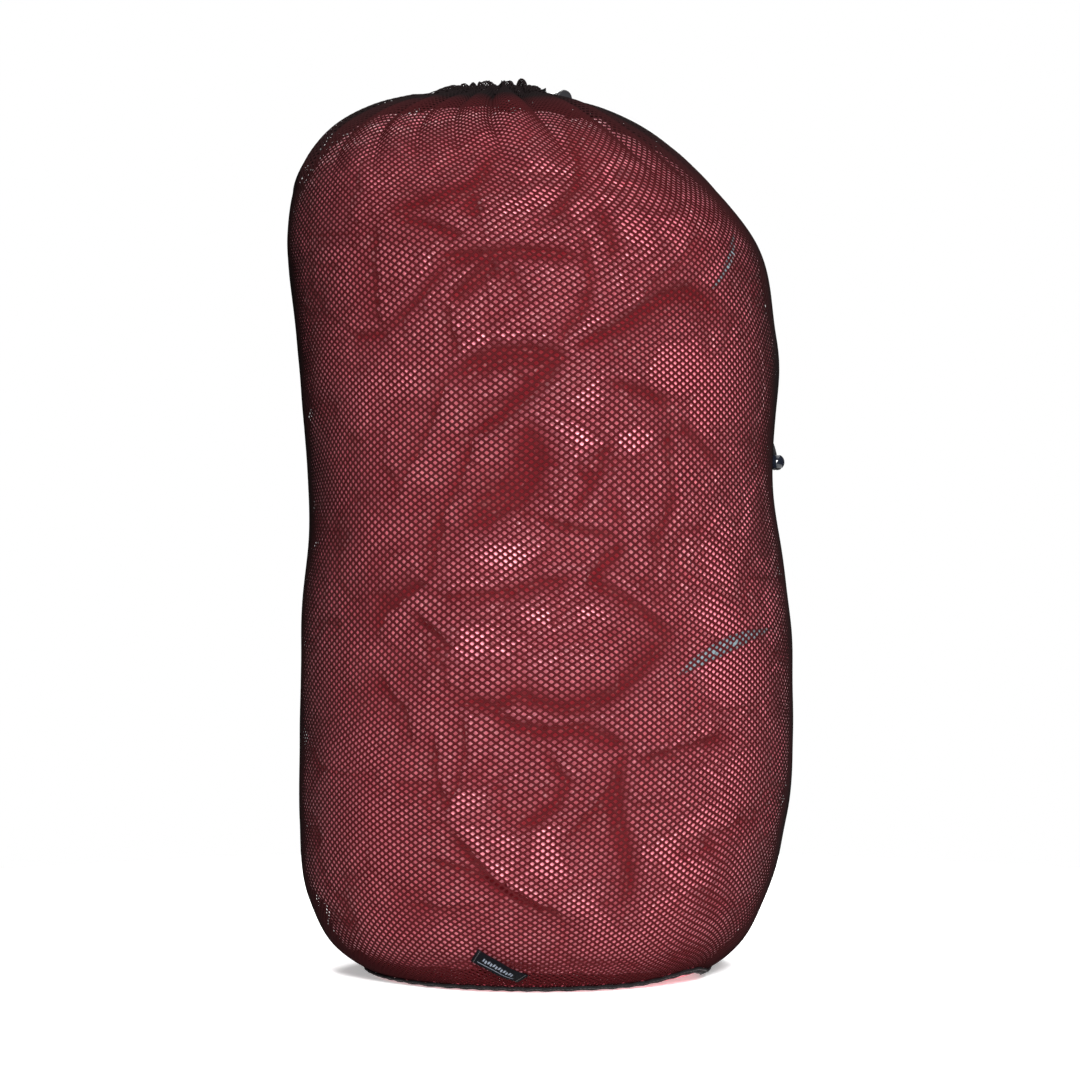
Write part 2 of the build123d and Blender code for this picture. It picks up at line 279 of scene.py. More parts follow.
class Wire:
    """A shader value that grows Math nodes when it is used in an expression."""

    def __init__(self, graph: "Graph", socket: bpy.types.NodeSocket) -> None:
        """Wraps one output socket of a graph."""
        self.graph = graph
        self.socket = socket

    def _math(self, operation: str, *values: object) -> "Wire":
        """The result of one Math node."""
        made = self.graph.node("ShaderNodeMath", {"operation": operation}, dict(enumerate(values)))
        return Wire(self.graph, made.outputs[0])

    def __add__(self, other: object) -> "Wire":
        """Sum."""
        return self._math("ADD", self, other)

    __radd__ = __add__

    def __mul__(self, other: object) -> "Wire":
        """Product."""
        return self._math("MULTIPLY", self, other)

    __rmul__ = __mul__

    def __sub__(self, other: object) -> "Wire":
        """Difference."""
        return self._math("SUBTRACT", self, other)

    def __rsub__(self, other: object) -> "Wire":
        """Reflected difference."""
        return self._math("SUBTRACT", other, self)

    def clipped(self) -> "Wire":
        """The value held between 0 and 1."""
        made = self.graph.node(
            "ShaderNodeMath", {"operation": "ADD", "use_clamp": True}, {0: self, 1: 0.0}
        )
        return Wire(self.graph, made.outputs[0])

    def above(self, limit: float) -> "Wire":
        """1 where the value is over the limit, else 0."""
        return self._math("GREATER_THAN", self, limit)

    def distance(self, place: object) -> "Wire":
        """How far the value is from a place, without a sign."""
        return self._math("ABSOLUTE", self - place)

    def wave(self) -> "Wire":
        """Sine of the value."""
        return self._math("SINE", self)

    def most(self, other: object) -> "Wire":
        """The larger of two values."""
        return self._math("MAXIMUM", self, other)


class Tree:
    """Adds nodes to a node tree from settings and inputs."""

    def __init__(self, tree: bpy.types.NodeTree) -> None:
        """Wraps an empty tree."""
        self.tree = tree

    def node(
        self,
        kind: str,
        settings: Optional[dict[str, object]] = None,
        inputs: Optional[dict[object, object]] = None,
    ) -> bpy.types.Node:
        """Adds a node.

        Args:
            kind: Blender's name of the node type.
            settings: Properties, set before any socket; a ramp's stops are under "stops".
            inputs: Value, Wire or output socket for each input, by name or number.

        Returns:
            The new node.
        """
        made = self.tree.nodes.new(kind)
        for name, value in (settings or {}).items():
            if name == "stops":
                self._stops(made.color_ramp, value)
            else:
                setattr(made, name, value)
        for name, value in (inputs or {}).items():
            if isinstance(value, Wire):
                value = value.socket
            if isinstance(value, bpy.types.NodeSocket):
                self.tree.links.new(value, made.inputs[name])
            elif value is not None:
                made.inputs[name].default_value = value
        return made

    @staticmethod
    def _stops(ramp: bpy.types.ColorRamp, stops: Sequence[tuple[float, Colour]]) -> None:
        """Sets a colour ramp's stops from pairs of place and colour."""
        while len(ramp.elements) < len(stops):
            ramp.elements.new(1.0)
        for element, (place, colour) in zip(ramp.elements, stops):
            element.position = place
            element.color = (*colour, 1.0)


class Graph(Tree):
    """A material's shader graph, with one Principled shader at its end."""

    def __init__(self, name: str, **constants: object) -> None:
        """Makes the material.

        Args:
            name: The material's name.
            constants: Values for the shader's own sockets, with _ for each space.
        """
        self.material = bpy.data.materials.new(name)
        self.material.use_nodes = True
        super().__init__(self.material.node_tree)
        self.tree.nodes.clear()
        self.shader = self.node("ShaderNodeBsdfPrincipled")
        for key, value in constants.items():
            socket = self.shader.inputs[key.replace("_", " ").replace("ior", "IOR")]
            socket.default_value = (*value, 1.0) if isinstance(value, tuple) else value
        self.node("ShaderNodeOutputMaterial", None, {"Surface": self.shader.outputs[0]})
        self._object = self.node("ShaderNodeTexCoord").outputs["Object"]

    def axes(self, source: Optional[bpy.types.NodeSocket] = None) -> tuple[Wire, Wire, Wire]:
        """The three parts of a vector, by default of the Object coordinates."""
        split = self.node("ShaderNodeSeparateXYZ", None, {0: source or self._object})
        return tuple(Wire(self, out) for out in split.outputs)

    def sheet_place(self) -> bpy.types.NodeSocket:
        """The piece's own UV map, in metres."""
        return self.node("ShaderNodeUVMap", {"uv_map": "Sheet"}).outputs[0]

    def noise(
        self,
        scale: float,
        detail: float = 2.0,
        rough: float = 0.5,
        source: Optional[bpy.types.NodeSocket] = None,
    ) -> Wire:
        """Noise of 0 to 1.

        Args:
            scale: Cells per metre.
            detail: Octaves.
            rough: Share that each octave keeps.
            source: Coordinates, by default the Object ones.

        Returns:
            The noise value.
        """
        made = self.node(
            "ShaderNodeTexNoise",
            {"noise_dimensions": "3D"},
            {"Vector": source or self._object, "Scale": scale, "Detail": detail, "Roughness": rough},
        )
        return Wire(self, made.outputs[0])

    def mixed(self, low: object, high: object, share: object) -> bpy.types.NodeSocket:
        """Colour between two colours or sockets, by a share."""
        ends = [(*end, 1.0) if isinstance(end, tuple) else end for end in (low, high)]
        made = self.node("ShaderNodeMix", {"data_type": "RGBA"}, {0: share, 6: ends[0], 7: ends[1]})
        return made.outputs[2]

    def feed(self, **links: object) -> "Graph":
        """Links values to the shader's sockets by name, with _ for each space."""
        for key, value in links.items():
            socket = value.socket if isinstance(value, Wire) else value
            self.tree.links.new(socket, self.shader.inputs[key.replace("_", " ")])
        return self

    def bump(self, height: Wire, depth: float, strength: float = 1.0) -> "Graph":
        """Feeds a Bump node to Normal.

        Args:
            height: Height of 0 to 1.
            depth: Depth of that height in metres.
            strength: Share of the effect.

        Returns:
            The graph.
        """
        made = self.node(
            "ShaderNodeBump", None, {"Height": height, "Distance": depth, "Strength": strength}
        )
        return self.feed(Normal=made.outputs[0])


class Growth(Tree):
    """A Geometry Nodes tree with named inputs, run once on a mesh."""

    def __init__(self, name: str, inputs: dict[str, str]) -> None:
        """Makes the tree.

        Args:
            name: The tree's name.
            inputs: Socket type of each named input, after the geometry.
        """
        super().__init__(bpy.data.node_groups.new(name, "GeometryNodeTree"))
        face = self.tree.interface
        face.new_socket("Geometry", in_out="OUTPUT", socket_type="NodeSocketGeometry")
        face.new_socket("Geometry", in_out="INPUT", socket_type="NodeSocketGeometry")
        for label, kind in inputs.items():
            face.new_socket(label, in_out="INPUT", socket_type=kind)
        self.given = self.node("NodeGroupInput").outputs

    def close(self, geometry: bpy.types.NodeSocket) -> "Growth":
        """Ends the tree in Realize Instances and Set Material."""
        real = self.node("GeometryNodeRealizeInstances", None, {"Geometry": geometry})
        dressed = self.node(
            "GeometryNodeSetMaterial",
            None,
            {"Geometry": real.outputs[0], "Material": self.given["Finish"]},
        )
        self.node("NodeGroupOutput", None, {0: dressed.outputs[0]})
        return self

    def grow(self, piece: bpy.types.Object, values: dict[str, object]) -> bpy.types.Object:
        """Runs the tree on a piece and leaves the result as its plain mesh.

        Args:
            piece: The mesh object to grow from.
            values: Value of each named input.

        Returns:
            The same object, with no modifier left.
        """
        modifier = piece.modifiers.new(self.tree.name, "NODES")
        modifier.node_group = self.tree
        for item in self.tree.interface.items_tree:
            if item.in_out == "INPUT" and item.name in values:
                modifier[item.identifier] = values[item.name]
        graph = bpy.context.evaluated_depsgraph_get()
        made = bpy.data.meshes.new_from_object(
            piece.evaluated_get(graph), preserve_all_data_layers=True, depsgraph=graph
        )
        piece.modifiers.remove(modifier)
        old = piece.data
        piece.data = made
        bpy.data.meshes.remove(old)
        made.name = piece.name
        return piece


def perforation_tree() -> Growth:
    """Opens a hole in every face: a rounded slope to its rim, then a short wall inwards."""
    tree = Growth(
        "Perforations",
        {
            "Rim drop": "NodeSocketFloat",
            "Open share": "NodeSocketFloat",
            "Height share": "NodeSocketFloat",
            "Wall": "NodeSocketFloat",
            "Finish": "NodeSocketMaterial",
        },
    )
    given = tree.given
    individual = {"mode": "FACES"}
    slope = tree.node(
        "GeometryNodeExtrudeMesh",
        individual,
        {"Mesh": given["Geometry"], "Offset Scale": given["Rim drop"], "Individual": True},
    )
    rim = tree.node(
        "GeometryNodeScaleElements",
        {"domain": "FACE"},
        {
            "Geometry": slope.outputs["Mesh"],
            "Selection": slope.outputs["Top"],
            "Scale": given["Open share"],
        },
    )
    oval = tree.node(
        "GeometryNodeScaleElements",
        {"domain": "FACE", "scale_mode": "SINGLE_AXIS"},
        {
            "Geometry": rim.outputs[0],
            "Selection": slope.outputs["Top"],
            "Scale": given["Height share"],
            "Axis": (0.0, 0.0, 1.0),
        },
    )
    wall = tree.node(
        "GeometryNodeExtrudeMesh",
        individual,
        {
            "Mesh": oval.outputs[0],
            "Selection": slope.outputs["Top"],
            "Offset Scale": given["Wall"],
            "Individual": True,
        },
    )
    opened = tree.node(
        "GeometryNodeDeleteGeometry",
        {"domain": "FACE", "mode": "ONLY_FACE"},
        {"Geometry": wall.outputs["Mesh"], "Selection": wall.outputs["Top"]},
    )
    smooth = tree.node("GeometryNodeSetShadeSmooth", None, {"Geometry": opened.outputs[0]})
    return tree.close(smooth.outputs[0])


def stitch_tree() -> Growth:
    """Lays short thread capsules end to end along the edges of a mesh."""
    tree = Growth(
        "Stitches",
        {
            "Pitch": "NodeSocketFloat",
            "Thread": "NodeSocketFloat",
            "Length": "NodeSocketFloat",
            "Finish": "NodeSocketMaterial",
        },
    )
    given = tree.given
    line = tree.node("GeometryNodeMeshToCurve", None, {"Mesh": given["Geometry"]})
    spaced = tree.node(
        "GeometryNodeResampleCurve",
        {"mode": "LENGTH"},
        {"Curve": line.outputs[0], "Length": given["Pitch"]},
    )
    tangent = tree.node("GeometryNodeInputTangent")
    turned = tree.node("FunctionNodeAlignRotationToVector", {"axis": "Z"}, {"Vector": tangent.outputs[0]})
    ball = tree.node("GeometryNodeMeshUVSphere", None, {"Segments": 6, "Rings": 5, "Radius": 0.5})
    shape = tree.node(
        "ShaderNodeCombineXYZ", None, {0: given["Thread"], 1: given["Thread"], 2: given["Length"]}
    )
    laid = tree.node(
        "GeometryNodeInstanceOnPoints",
        None,
        {
            "Points": spaced.outputs[0],
            "Instance": ball.outputs[0],
            "Rotation": turned.outputs[0],
            "Scale": shape.outputs[0],
        },
    )
    real = tree.node("GeometryNodeRealizeInstances", None, {"Geometry": laid.outputs[0]})
    smooth = tree.node("GeometryNodeSetShadeSmooth", None, {"Geometry": real.outputs[0]})
    return tree.close(smooth.outputs[0])


# --- plain mesh making -------------------------------------------------------------------------


def mesh_piece(
    name: str, points: np.ndarray, faces: Iterable[Sequence[int]], smooth: bool = True
) -> bpy.types.Object:
    """Makes a mesh object at the origin.

    Args:
        name: The piece's name.
        points: Its vertices, in metres.
        faces: Vertex numbers of each face.
        smooth: Whether its faces are shaded smooth.

    Returns:
        The linked object.
    """
    mesh = bpy.data.meshes.new(name)
    mesh.from_pydata(points.reshape(-1, 3).tolist(), [], [tuple(map(int, f)) for f in faces])
    if smooth:
        mesh.polygons.foreach_set("use_smooth", np.ones(len(mesh.polygons), bool))
    mesh.update()
    piece = bpy.data.objects.new(name, mesh)
    bpy.context.scene.collection.objects.link(piece)
    return piece


def grid_faces(rows: int, columns: int, closed: bool) -> np.ndarray:
    """Quads of a grid of points, row by row, that faces outwards when columns run anticlockwise.

    Args:
        rows: Rows of points.
        columns: Points in each row.
        closed: Whether each row joins its own start.

    Returns:
        Four vertex numbers per face.
    """
    row, column = np.meshgrid(
        np.arange(rows - 1), np.arange(columns if closed else columns - 1), indexing="ij"
    )
    after = (column + 1) % columns
    quads = [row * columns + column, row * columns + after]
    quads += [(row + 1) * columns + after, (row + 1) * columns + column]
    return np.stack(quads, axis=-1).reshape(-1, 4)


def joining_faces(rows: int, columns: int) -> list[tuple[int, ...]]:
    """Quads that join the last row of a grid of closed rows to its first row."""
    last = (rows - 1) * columns
    return [(last + i, last + (i + 1) % columns, (i + 1) % columns, i) for i in range(columns)]


def honeycomb(
    columns: Iterable[int], rows: int, around: Optional[int] = None
) -> tuple[np.ndarray, list[list[int]]]:
    """Six-sided cells in staggered columns, which share their corners.

    Args:
        columns: Numbers of the columns of cells.
        rows: Cells in each column.
        around: Number of columns after which the cells close on themselves, if they do.

    Returns:
        Each corner's column, half-row level and side (1 right of the column's middle, 0 left), and
        each cell's corner numbers.
    """
    corners: dict[tuple[int, int, int], int] = {}
    cells = []
    for column in columns:
        for row in range(rows):
            level = 2 * row + 1 + column % 2
            ring = [
                (column, level, 0),
                (column - 1, level - 1, 1),
                (column + 1, level - 1, 0),
                (column, level, 1),
                (column + 1, level + 1, 0),
                (column - 1, level + 1, 1),
            ]
            if around:
                ring = [(place % around, up, side) for place, up, side in ring]
            cells.append([corners.setdefault(key, len(corners)) for key in ring])
    return np.array(list(corners), float), cells


def untwisted(line: np.ndarray) -> tuple[np.ndarray, np.ndarray]:
    """Two unit directions across a line, which don't twist along it."""
    forward = unit(np.gradient(line, axis=0))
    side = np.zeros_like(line)
    start = np.cross(forward[0], (0.0, 0.0, 1.0))
    side[0] = start / np.linalg.norm(start)
    for i in range(1, len(line)):
        turned = side[i - 1] - forward[i] * (side[i - 1] @ forward[i])
        side[i] = turned / np.linalg.norm(turned)
    return side, np.cross(forward, side)


def round_tube(line: np.ndarray, radius: float, sides: int) -> tuple[np.ndarray, list[tuple[int, ...]]]:
    """Points and faces of a round tube with closed ends."""
    a, b = untwisted(line)
    turn = np.linspace(0, TURN, sides, endpoint=False)
    ring = a[:, None] * np.cos(turn)[None, :, None] + b[:, None] * np.sin(turn)[None, :, None]
    points = line[:, None] + ring * radius
    faces = [tuple(f) for f in grid_faces(len(line), sides, True)]
    faces.append(tuple(reversed(range(sides))))
    faces.append(tuple(range((len(line) - 1) * sides, len(line) * sides)))
    return points.reshape(-1, 3), faces


def write_sheet_uv(piece: bpy.types.Object, places: np.ndarray) -> None:
    """Gives each vertex its place on the flat cloth, in metres, as the UV map named Sheet.

    Args:
        piece: The mesh object.
        places: One (across, along) pair per vertex.
    """
    layer = piece.data.uv_layers.new(name="Sheet")
    corners = np.zeros(len(piece.data.loops), int)
    piece.data.loops.foreach_get("vertex_index", corners)
    layer.data.foreach_set("uv", places[corners].astype(np.float32).ravel())


def dress(
    piece: bpy.types.Object, material: bpy.types.Material, body: Body = Body.SACK
) -> None:
    """Gives a finished piece its material and the body that it rides on."""
    piece.data.materials.clear()
    piece.data.materials.append(material)
    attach(piece, body.value)


def close_up(piece: bpy.types.Object) -> None:
    """Recalculates a closed mesh's normals so that they point outwards."""
    shape = bmesh.new()
    shape.from_mesh(piece.data)
    bmesh.ops.recalc_face_normals(shape, faces=shape.faces)
    shape.to_mesh(piece.data)
    shape.free()


@dataclass
class Ribbon:
    """A flat band with a rounded section, swept along a line.

    Fields hold its width, thickness and the number of points in its section.
    """

    width: float
    thick: float
    section: int = 20

    def sweep(
        self,
        name: str,
        centres: np.ndarray,
        sides: np.ndarray,
        outs: np.ndarray,
        closed: bool,
    ) -> bpy.types.Object:
        """Builds the band.

        Args:
            name: The piece's name.
            centres: Points along its middle.
            sides: Unit directions across it.
            outs: Unit directions out of its face.
            closed: Whether it joins its own start.

        Returns:
            The object, with its Sheet UV map.
        """
        turn = np.linspace(0, TURN, self.section, endpoint=False)
        wide = np.sign(np.cos(turn)) * np.abs(np.cos(turn)) ** 0.35 * self.width / 2
        high = np.sign(np.sin(turn)) * np.abs(np.sin(turn)) ** 0.8 * self.thick / 2
        points = (
            centres[:, None] + sides[:, None] * wide[None, :, None] + outs[:, None] * high[None, :, None]
        )
        rows = len(centres)
        faces = [tuple(f) for f in grid_faces(rows, self.section, True)]
        if closed:
            faces += joining_faces(rows, self.section)
        else:
            faces.append(tuple(range(self.section)))
            faces.append(tuple(range((rows - 1) * self.section, rows * self.section)))
        piece = mesh_piece(name, points, faces)
        step = np.linalg.norm(np.diff(centres, axis=0), axis=1)
        along = np.concatenate([[0], np.cumsum(step)])
        places = np.stack(
            [np.broadcast_to(wide, (rows, self.section)), np.repeat(along[:, None], self.section, 1)],
            axis=-1,
        )
        write_sheet_uv(piece, places.reshape(-1, 2))
        close_up(piece)
        return piece


def sewn_line(
    name: str, points: np.ndarray, closed: bool, thread: "ThreadFinish", pitch: float, size: float
) -> bpy.types.Object:
    """A row of stitches along points.

    Args:
        name: The piece's name.
        points: Points on the cloth's face.
        closed: Whether the row joins its own start.
        thread: The thread's finish.
        pitch: Distance from one stitch to the next.
        size: Thread diameter.

    Returns:
        The stitches as one mesh.
    """
    count = len(points)
    edges = [(i, i + 1) for i in range(count - 1)] + ([(count - 1, 0)] if closed else [])
    mesh = bpy.data.meshes.new(name)
    mesh.from_pydata(points.tolist(), edges, [])
    piece = bpy.data.objects.new(name, mesh)
    bpy.context.scene.collection.objects.link(piece)
    values = {"Pitch": pitch, "Thread": size, "Length": pitch * 0.82, "Finish": thread.material()}
    return stitch_tree().grow(piece, values)


def stitched(
    tape: bpy.types.Object, rows: Sequence[np.ndarray], closed: bool, seam: "Stitching"
) -> list[bpy.types.Object]:
    """Sews a finished trim down.

    Args:
        tape: The trim.
        rows: Points of each row of stitches.
        closed: Whether the rows join their own starts.
        seam: Name, thread and size of the stitches.

    Returns:
        The trim and its rows of stitches.
    """
    made = [tape]
    for number, line in enumerate(rows):
        row = sewn_line(f"{seam.name}_{number + 1}", line, closed, seam.thread, seam.pitch, seam.size)
        dress(row, seam.thread.material())
        made.append(row)
    return made


# --- finishes ----------------------------------------------------------------------------------


class Finish:
    """Common to all finishes: the material is laid out once and then shared."""

    name: str

    def material(self) -> bpy.types.Material:
        """The finish's material."""
        return bpy.data.materials.get(self.name) or self.lay_out()


@dataclass(frozen=True)
class NetFinish(Finish):
    """Dark knitted polyester mesh with a painted reddish-brown glow in front, in random patches, standing
    in for light from the lit red bag behind it, and plain black at the mouth and behind.
    """

    name: str = "KnitMesh"
    # Reddish-brown colours of a painted glow, mixed in random patches, that stand in for light from the lit
    # red bag behind the mesh; plain is the mesh's own near-black.
    painted_glow_dim: Colour = (0.031, 0.0038, 0.0046)
    wear_and_glow: Colour = (0.048, 0.0072, 0.0086)
    plain: Colour = (0.0075, 0.0056, 0.0058)
    glow_top: float = 0.676
    glow_front: float = -0.135

    def lay_out(self) -> bpy.types.Material:
        """Builds the material."""
        graph = Graph(self.name, Roughness=0.90, Specular_IOR_Level=0.0)
        fade = graph.noise(38.0, 3.0)
        fuzz = graph.noise(2600.0, 2.0, 0.7)
        share = (fade * 0.9 + fuzz * 0.45 - 0.25).clipped()
        _, back, height = graph.axes()
        # Painted glow only low on the front: above a height and towards the back the colour stays plain
        # near-black.
        no_glow = ((height - self.glow_top) * 60.0).clipped()
        no_glow = no_glow.most(((back - self.glow_front) * 9.0).clipped())
        painted_glow = graph.mixed(self.painted_glow_dim, self.wear_and_glow, share)
        graph.feed(Base_Color=graph.mixed(painted_glow, self.plain, no_glow))
        graph.bump(fuzz, 0.00012, 0.5)
        return graph.material


@dataclass(frozen=True)
class ShellFinish(Finish):
    """Plain-woven red nylon with a soft sheen, a deeper red in random broad patches and, when folded,
    painted shade in its folds and deep places.
    """

    name: str
    colour: Colour = (0.66, 0.185, 0.235)
    deep: Colour = (0.27, 0.012, 0.022)
    threads: float = 1500.0
    roughness: float = 0.46
    folded: bool = False

    def lay_out(self) -> bpy.types.Material:
        """Builds the material."""
        graph = Graph(
            self.name, Sheen_Weight=0.55, Sheen_Roughness=0.35, Sheen_Tint=(1.0, 0.62, 0.66)
        )
        cloud = graph.noise(11.0, 2.0)
        crinkle = graph.noise(210.0, 4.0, 0.62)
        share = (cloud * 1.7 + crinkle * 0.35 - 0.78).clipped()
        # Painted shade: a per-vertex share from the bag darkens the cloth towards the deep colour in crease
        # bottoms, along crinkles and where it sinks deep under the net.
        if self.folded:
            fold = graph.node("ShaderNodeAttribute", {"attribute_name": "Fold"}).outputs["Fac"]
            share = (share * 0.55 + Wire(graph, fold) * 1.05).clipped()
        graph.feed(Base_Color=graph.mixed(self.colour, self.deep, share))
        graph.feed(Roughness=(crinkle * 0.16 + (self.roughness - 0.08)).clipped())
        x, y, z = graph.axes()
        weave = ((x + y) * self.threads).wave() * (z * self.threads).wave() * 0.5 + 0.5
        graph.bump((crinkle * 0.82 + weave * 0.18).clipped(), 0.0011, 0.75)
        return graph.material


@dataclass(frozen=True)
class LiningFinish(Finish):
    """Matt slate lining with a fine weave."""

    name: str = "BagLining"
    colour: Colour = (0.115, 0.165, 0.185)
    deep: Colour = (0.042, 0.062, 0.075)
    threads: float = 2100.0

    def lay_out(self) -> bpy.types.Material:
        """Builds the material."""
        graph = Graph(self.name, Roughness=0.58, Sheen_Weight=0.3, Sheen_Roughness=0.4)
        crinkle = graph.noise(260.0, 3.0, 0.6)
        graph.feed(Base_Color=graph.mixed(self.deep, self.colour, (crinkle * 1.6 - 0.2).clipped()))
        x, y, z = graph.axes()
        weave = ((x + y) * self.threads).wave() * (z * self.threads).wave() * 0.5 + 0.5
        graph.bump((crinkle * 0.7 + weave * 0.3).clipped(), 0.0006, 0.6)
        return graph.material


@dataclass(frozen=True)
class TapeFinish(Finish):
    """Woven polyester tape with ribs across it, on its own Sheet UV map."""

    name: str
    colour: Colour = (0.0036, 0.0030, 0.0034)
    wear_and_glow: Colour = (0.0110, 0.0095, 0.0100)
    rib: float = 0.0011

    def lay_out(self) -> bpy.types.Material:
        """Builds the material."""
        graph = Graph(self.name, Roughness=0.85, Specular_IOR_Level=0.06)
        across, along, _ = graph.axes(graph.sheet_place())
        ribs = (along * (TURN / self.rib)).wave() * 0.5 + 0.5
        yarns = (across * (TURN / 0.0008)).wave() * 0.5 + 0.5
        fuzz = graph.noise(900.0, 3.0, 0.65)
        rise = (ribs * 0.55 + yarns * 0.25 + fuzz * 0.2).clipped()
        graph.feed(Base_Color=graph.mixed(self.colour, self.wear_and_glow, (rise * fuzz * 1.5).clipped()))
        graph.bump(rise, 0.0003, 0.8)
        return graph.material


@dataclass(frozen=True)
class ThreadFinish(Finish):
    """Bonded sewing thread."""

    name: str = "SewingThread"
    colour: Colour = (0.014, 0.012, 0.013)

    def lay_out(self) -> bpy.types.Material:
        """Builds the material."""
        graph = Graph(self.name, Roughness=0.45, Sheen_Weight=0.2)
        fibre = graph.noise(3000.0, 2.0)
        graph.feed(Roughness=(fibre * 0.3 + 0.3).clipped())
        graph.feed(Base_Color=graph.mixed(self.colour, (0.032, 0.028, 0.030), fibre))
        return graph.material


@dataclass(frozen=True)
class Stitching:
    """A kind of seam: the name of its rows, their thread, the stitches' pitch and thread diameter."""

    name: str
    thread: ThreadFinish
    pitch: float
    size: float = 0.0005


@dataclass(frozen=True)
class LabelFinish(Finish):
    """Damask label: dark satin ground with a plain pale motif of dashes and no lettering."""

    name: str = "WovenLabel"
    ground: Colour = (0.0016, 0.0018, 0.0028)
    motif: Colour = (0.17, 0.19, 0.23)

    def lay_out(self) -> bpy.types.Material:
        """Builds the material."""
        graph = Graph(self.name, Roughness=0.75, Specular_IOR_Level=0.04)
        across, along, _ = graph.axes(graph.sheet_place())
        middle = along - 0.021
        beat = (middle * (TURN / 0.0046)).wave()
        row = (0.00155 - (across - 0.0006 * beat).distance(0.0004)).above(0.0)
        gaps = (middle * (TURN / 0.0023)).wave().above(-0.25)
        inside = (0.0135 - middle.distance(0.0)).above(0.0)
        line = (0.00024 - across.distance(-0.0036)).above(0.0)
        mark = (row * gaps * inside).most(line * (0.0165 - middle.distance(0.0)).above(0.0))
        twill = ((across + along) * (TURN / 0.00045)).wave() * 0.5 + 0.5
        graph.feed(Base_Color=graph.mixed(self.ground, self.motif, (mark * 0.85).clipped()))
        graph.bump((twill * 0.6 + mark * 0.4).clipped(), 0.00022, 0.7)
        return graph.material


@dataclass(frozen=True)
class CordFinish(Finish):
    """Black braided polyester cord with a few paler filaments."""

    name: str = "Drawcord"
    colour: Colour = (0.0048, 0.0045, 0.0052)
    fleck: Colour = (0.026, 0.024, 0.027)

    def lay_out(self) -> bpy.types.Material:
        """Builds the material."""
        graph = Graph(self.name, Roughness=0.65, Specular_IOR_Level=0.15)
        fibre = graph.noise(3200.0, 3.0, 0.7)
        wear = graph.noise(60.0, 2.0)
        share = ((fibre * 1.5 - 0.45) * wear).clipped()
        graph.feed(Base_Color=graph.mixed(self.colour, self.fleck, share))
        graph.bump(fibre, 0.00018, 0.6)
        return graph.material


@dataclass(frozen=True)
class MouldedFinish(Finish):
    """Moulded plastic, spark-eroded or glossy."""

    name: str
    colour: Colour = (0.0050, 0.0050, 0.0060)
    rubbed: Colour = (0.0150, 0.0150, 0.0175)
    roughness: float = 0.38
    grain: float = 0.6
    coat: float = 0.0
    shine: float = 0.25

    def lay_out(self) -> bpy.types.Material:
        """Builds the material."""
        graph = Graph(
            self.name, Coat_Weight=self.coat, Coat_Roughness=0.12, Specular_IOR_Level=self.shine
        )
        spark = graph.noise(2400.0, 3.0, 0.6)
        hand = graph.noise(130.0, 3.0)
        graph.feed(Base_Color=graph.mixed(self.colour, self.rubbed, (hand * 1.4 - 0.4).clipped()))
        graph.feed(Roughness=(hand * 0.16 + spark * 0.08 + (self.roughness - 0.12)).clipped())
        graph.bump(spark, 0.00008, self.grain)
        return graph.material


@dataclass(frozen=True)
class MetalFinish(Finish):
    """Drawn or stamped metal with fine wear."""

    name: str
    colour: Colour
    tarnish: Colour
    roughness: float = 0.3

    def lay_out(self) -> bpy.types.Material:
        """Builds the material."""
        graph = Graph(self.name, Metallic=1.0)
        wear = graph.noise(420.0, 4.0, 0.65)
        brushed = graph.noise(3600.0, 2.0)
        graph.feed(Base_Color=graph.mixed(self.tarnish, self.colour, (wear * 2.2 - 0.5).clipped()))
        graph.feed(Roughness=(wear * 0.22 + brushed * 0.12 + (self.roughness - 0.14)).clipped())
        graph.bump(brushed, 0.00004, 0.5)
        return graph.material


@dataclass(frozen=True)
class StudioFinish(Finish):
    """Pale seamless paper."""

    name: str
    colour: Colour = (0.94, 0.94, 0.94)

    def lay_out(self) -> bpy.types.Material:
        """Builds the material."""
        graph = Graph(
            self.name,
            Roughness=0.9,
            Specular_IOR_Level=0.1,
            Emission_Color=(1.0, 1.0, 1.0),
            Emission_Strength=0.35,
        )
        grain = graph.noise(400.0, 2.0)
        pale = tuple(min(1.0, c * 1.02) for c in self.colour)
        graph.feed(Base_Color=graph.mixed(self.colour, pale, grain))
        return graph.material


# --- the net -----------------------------------------------------------------------------------


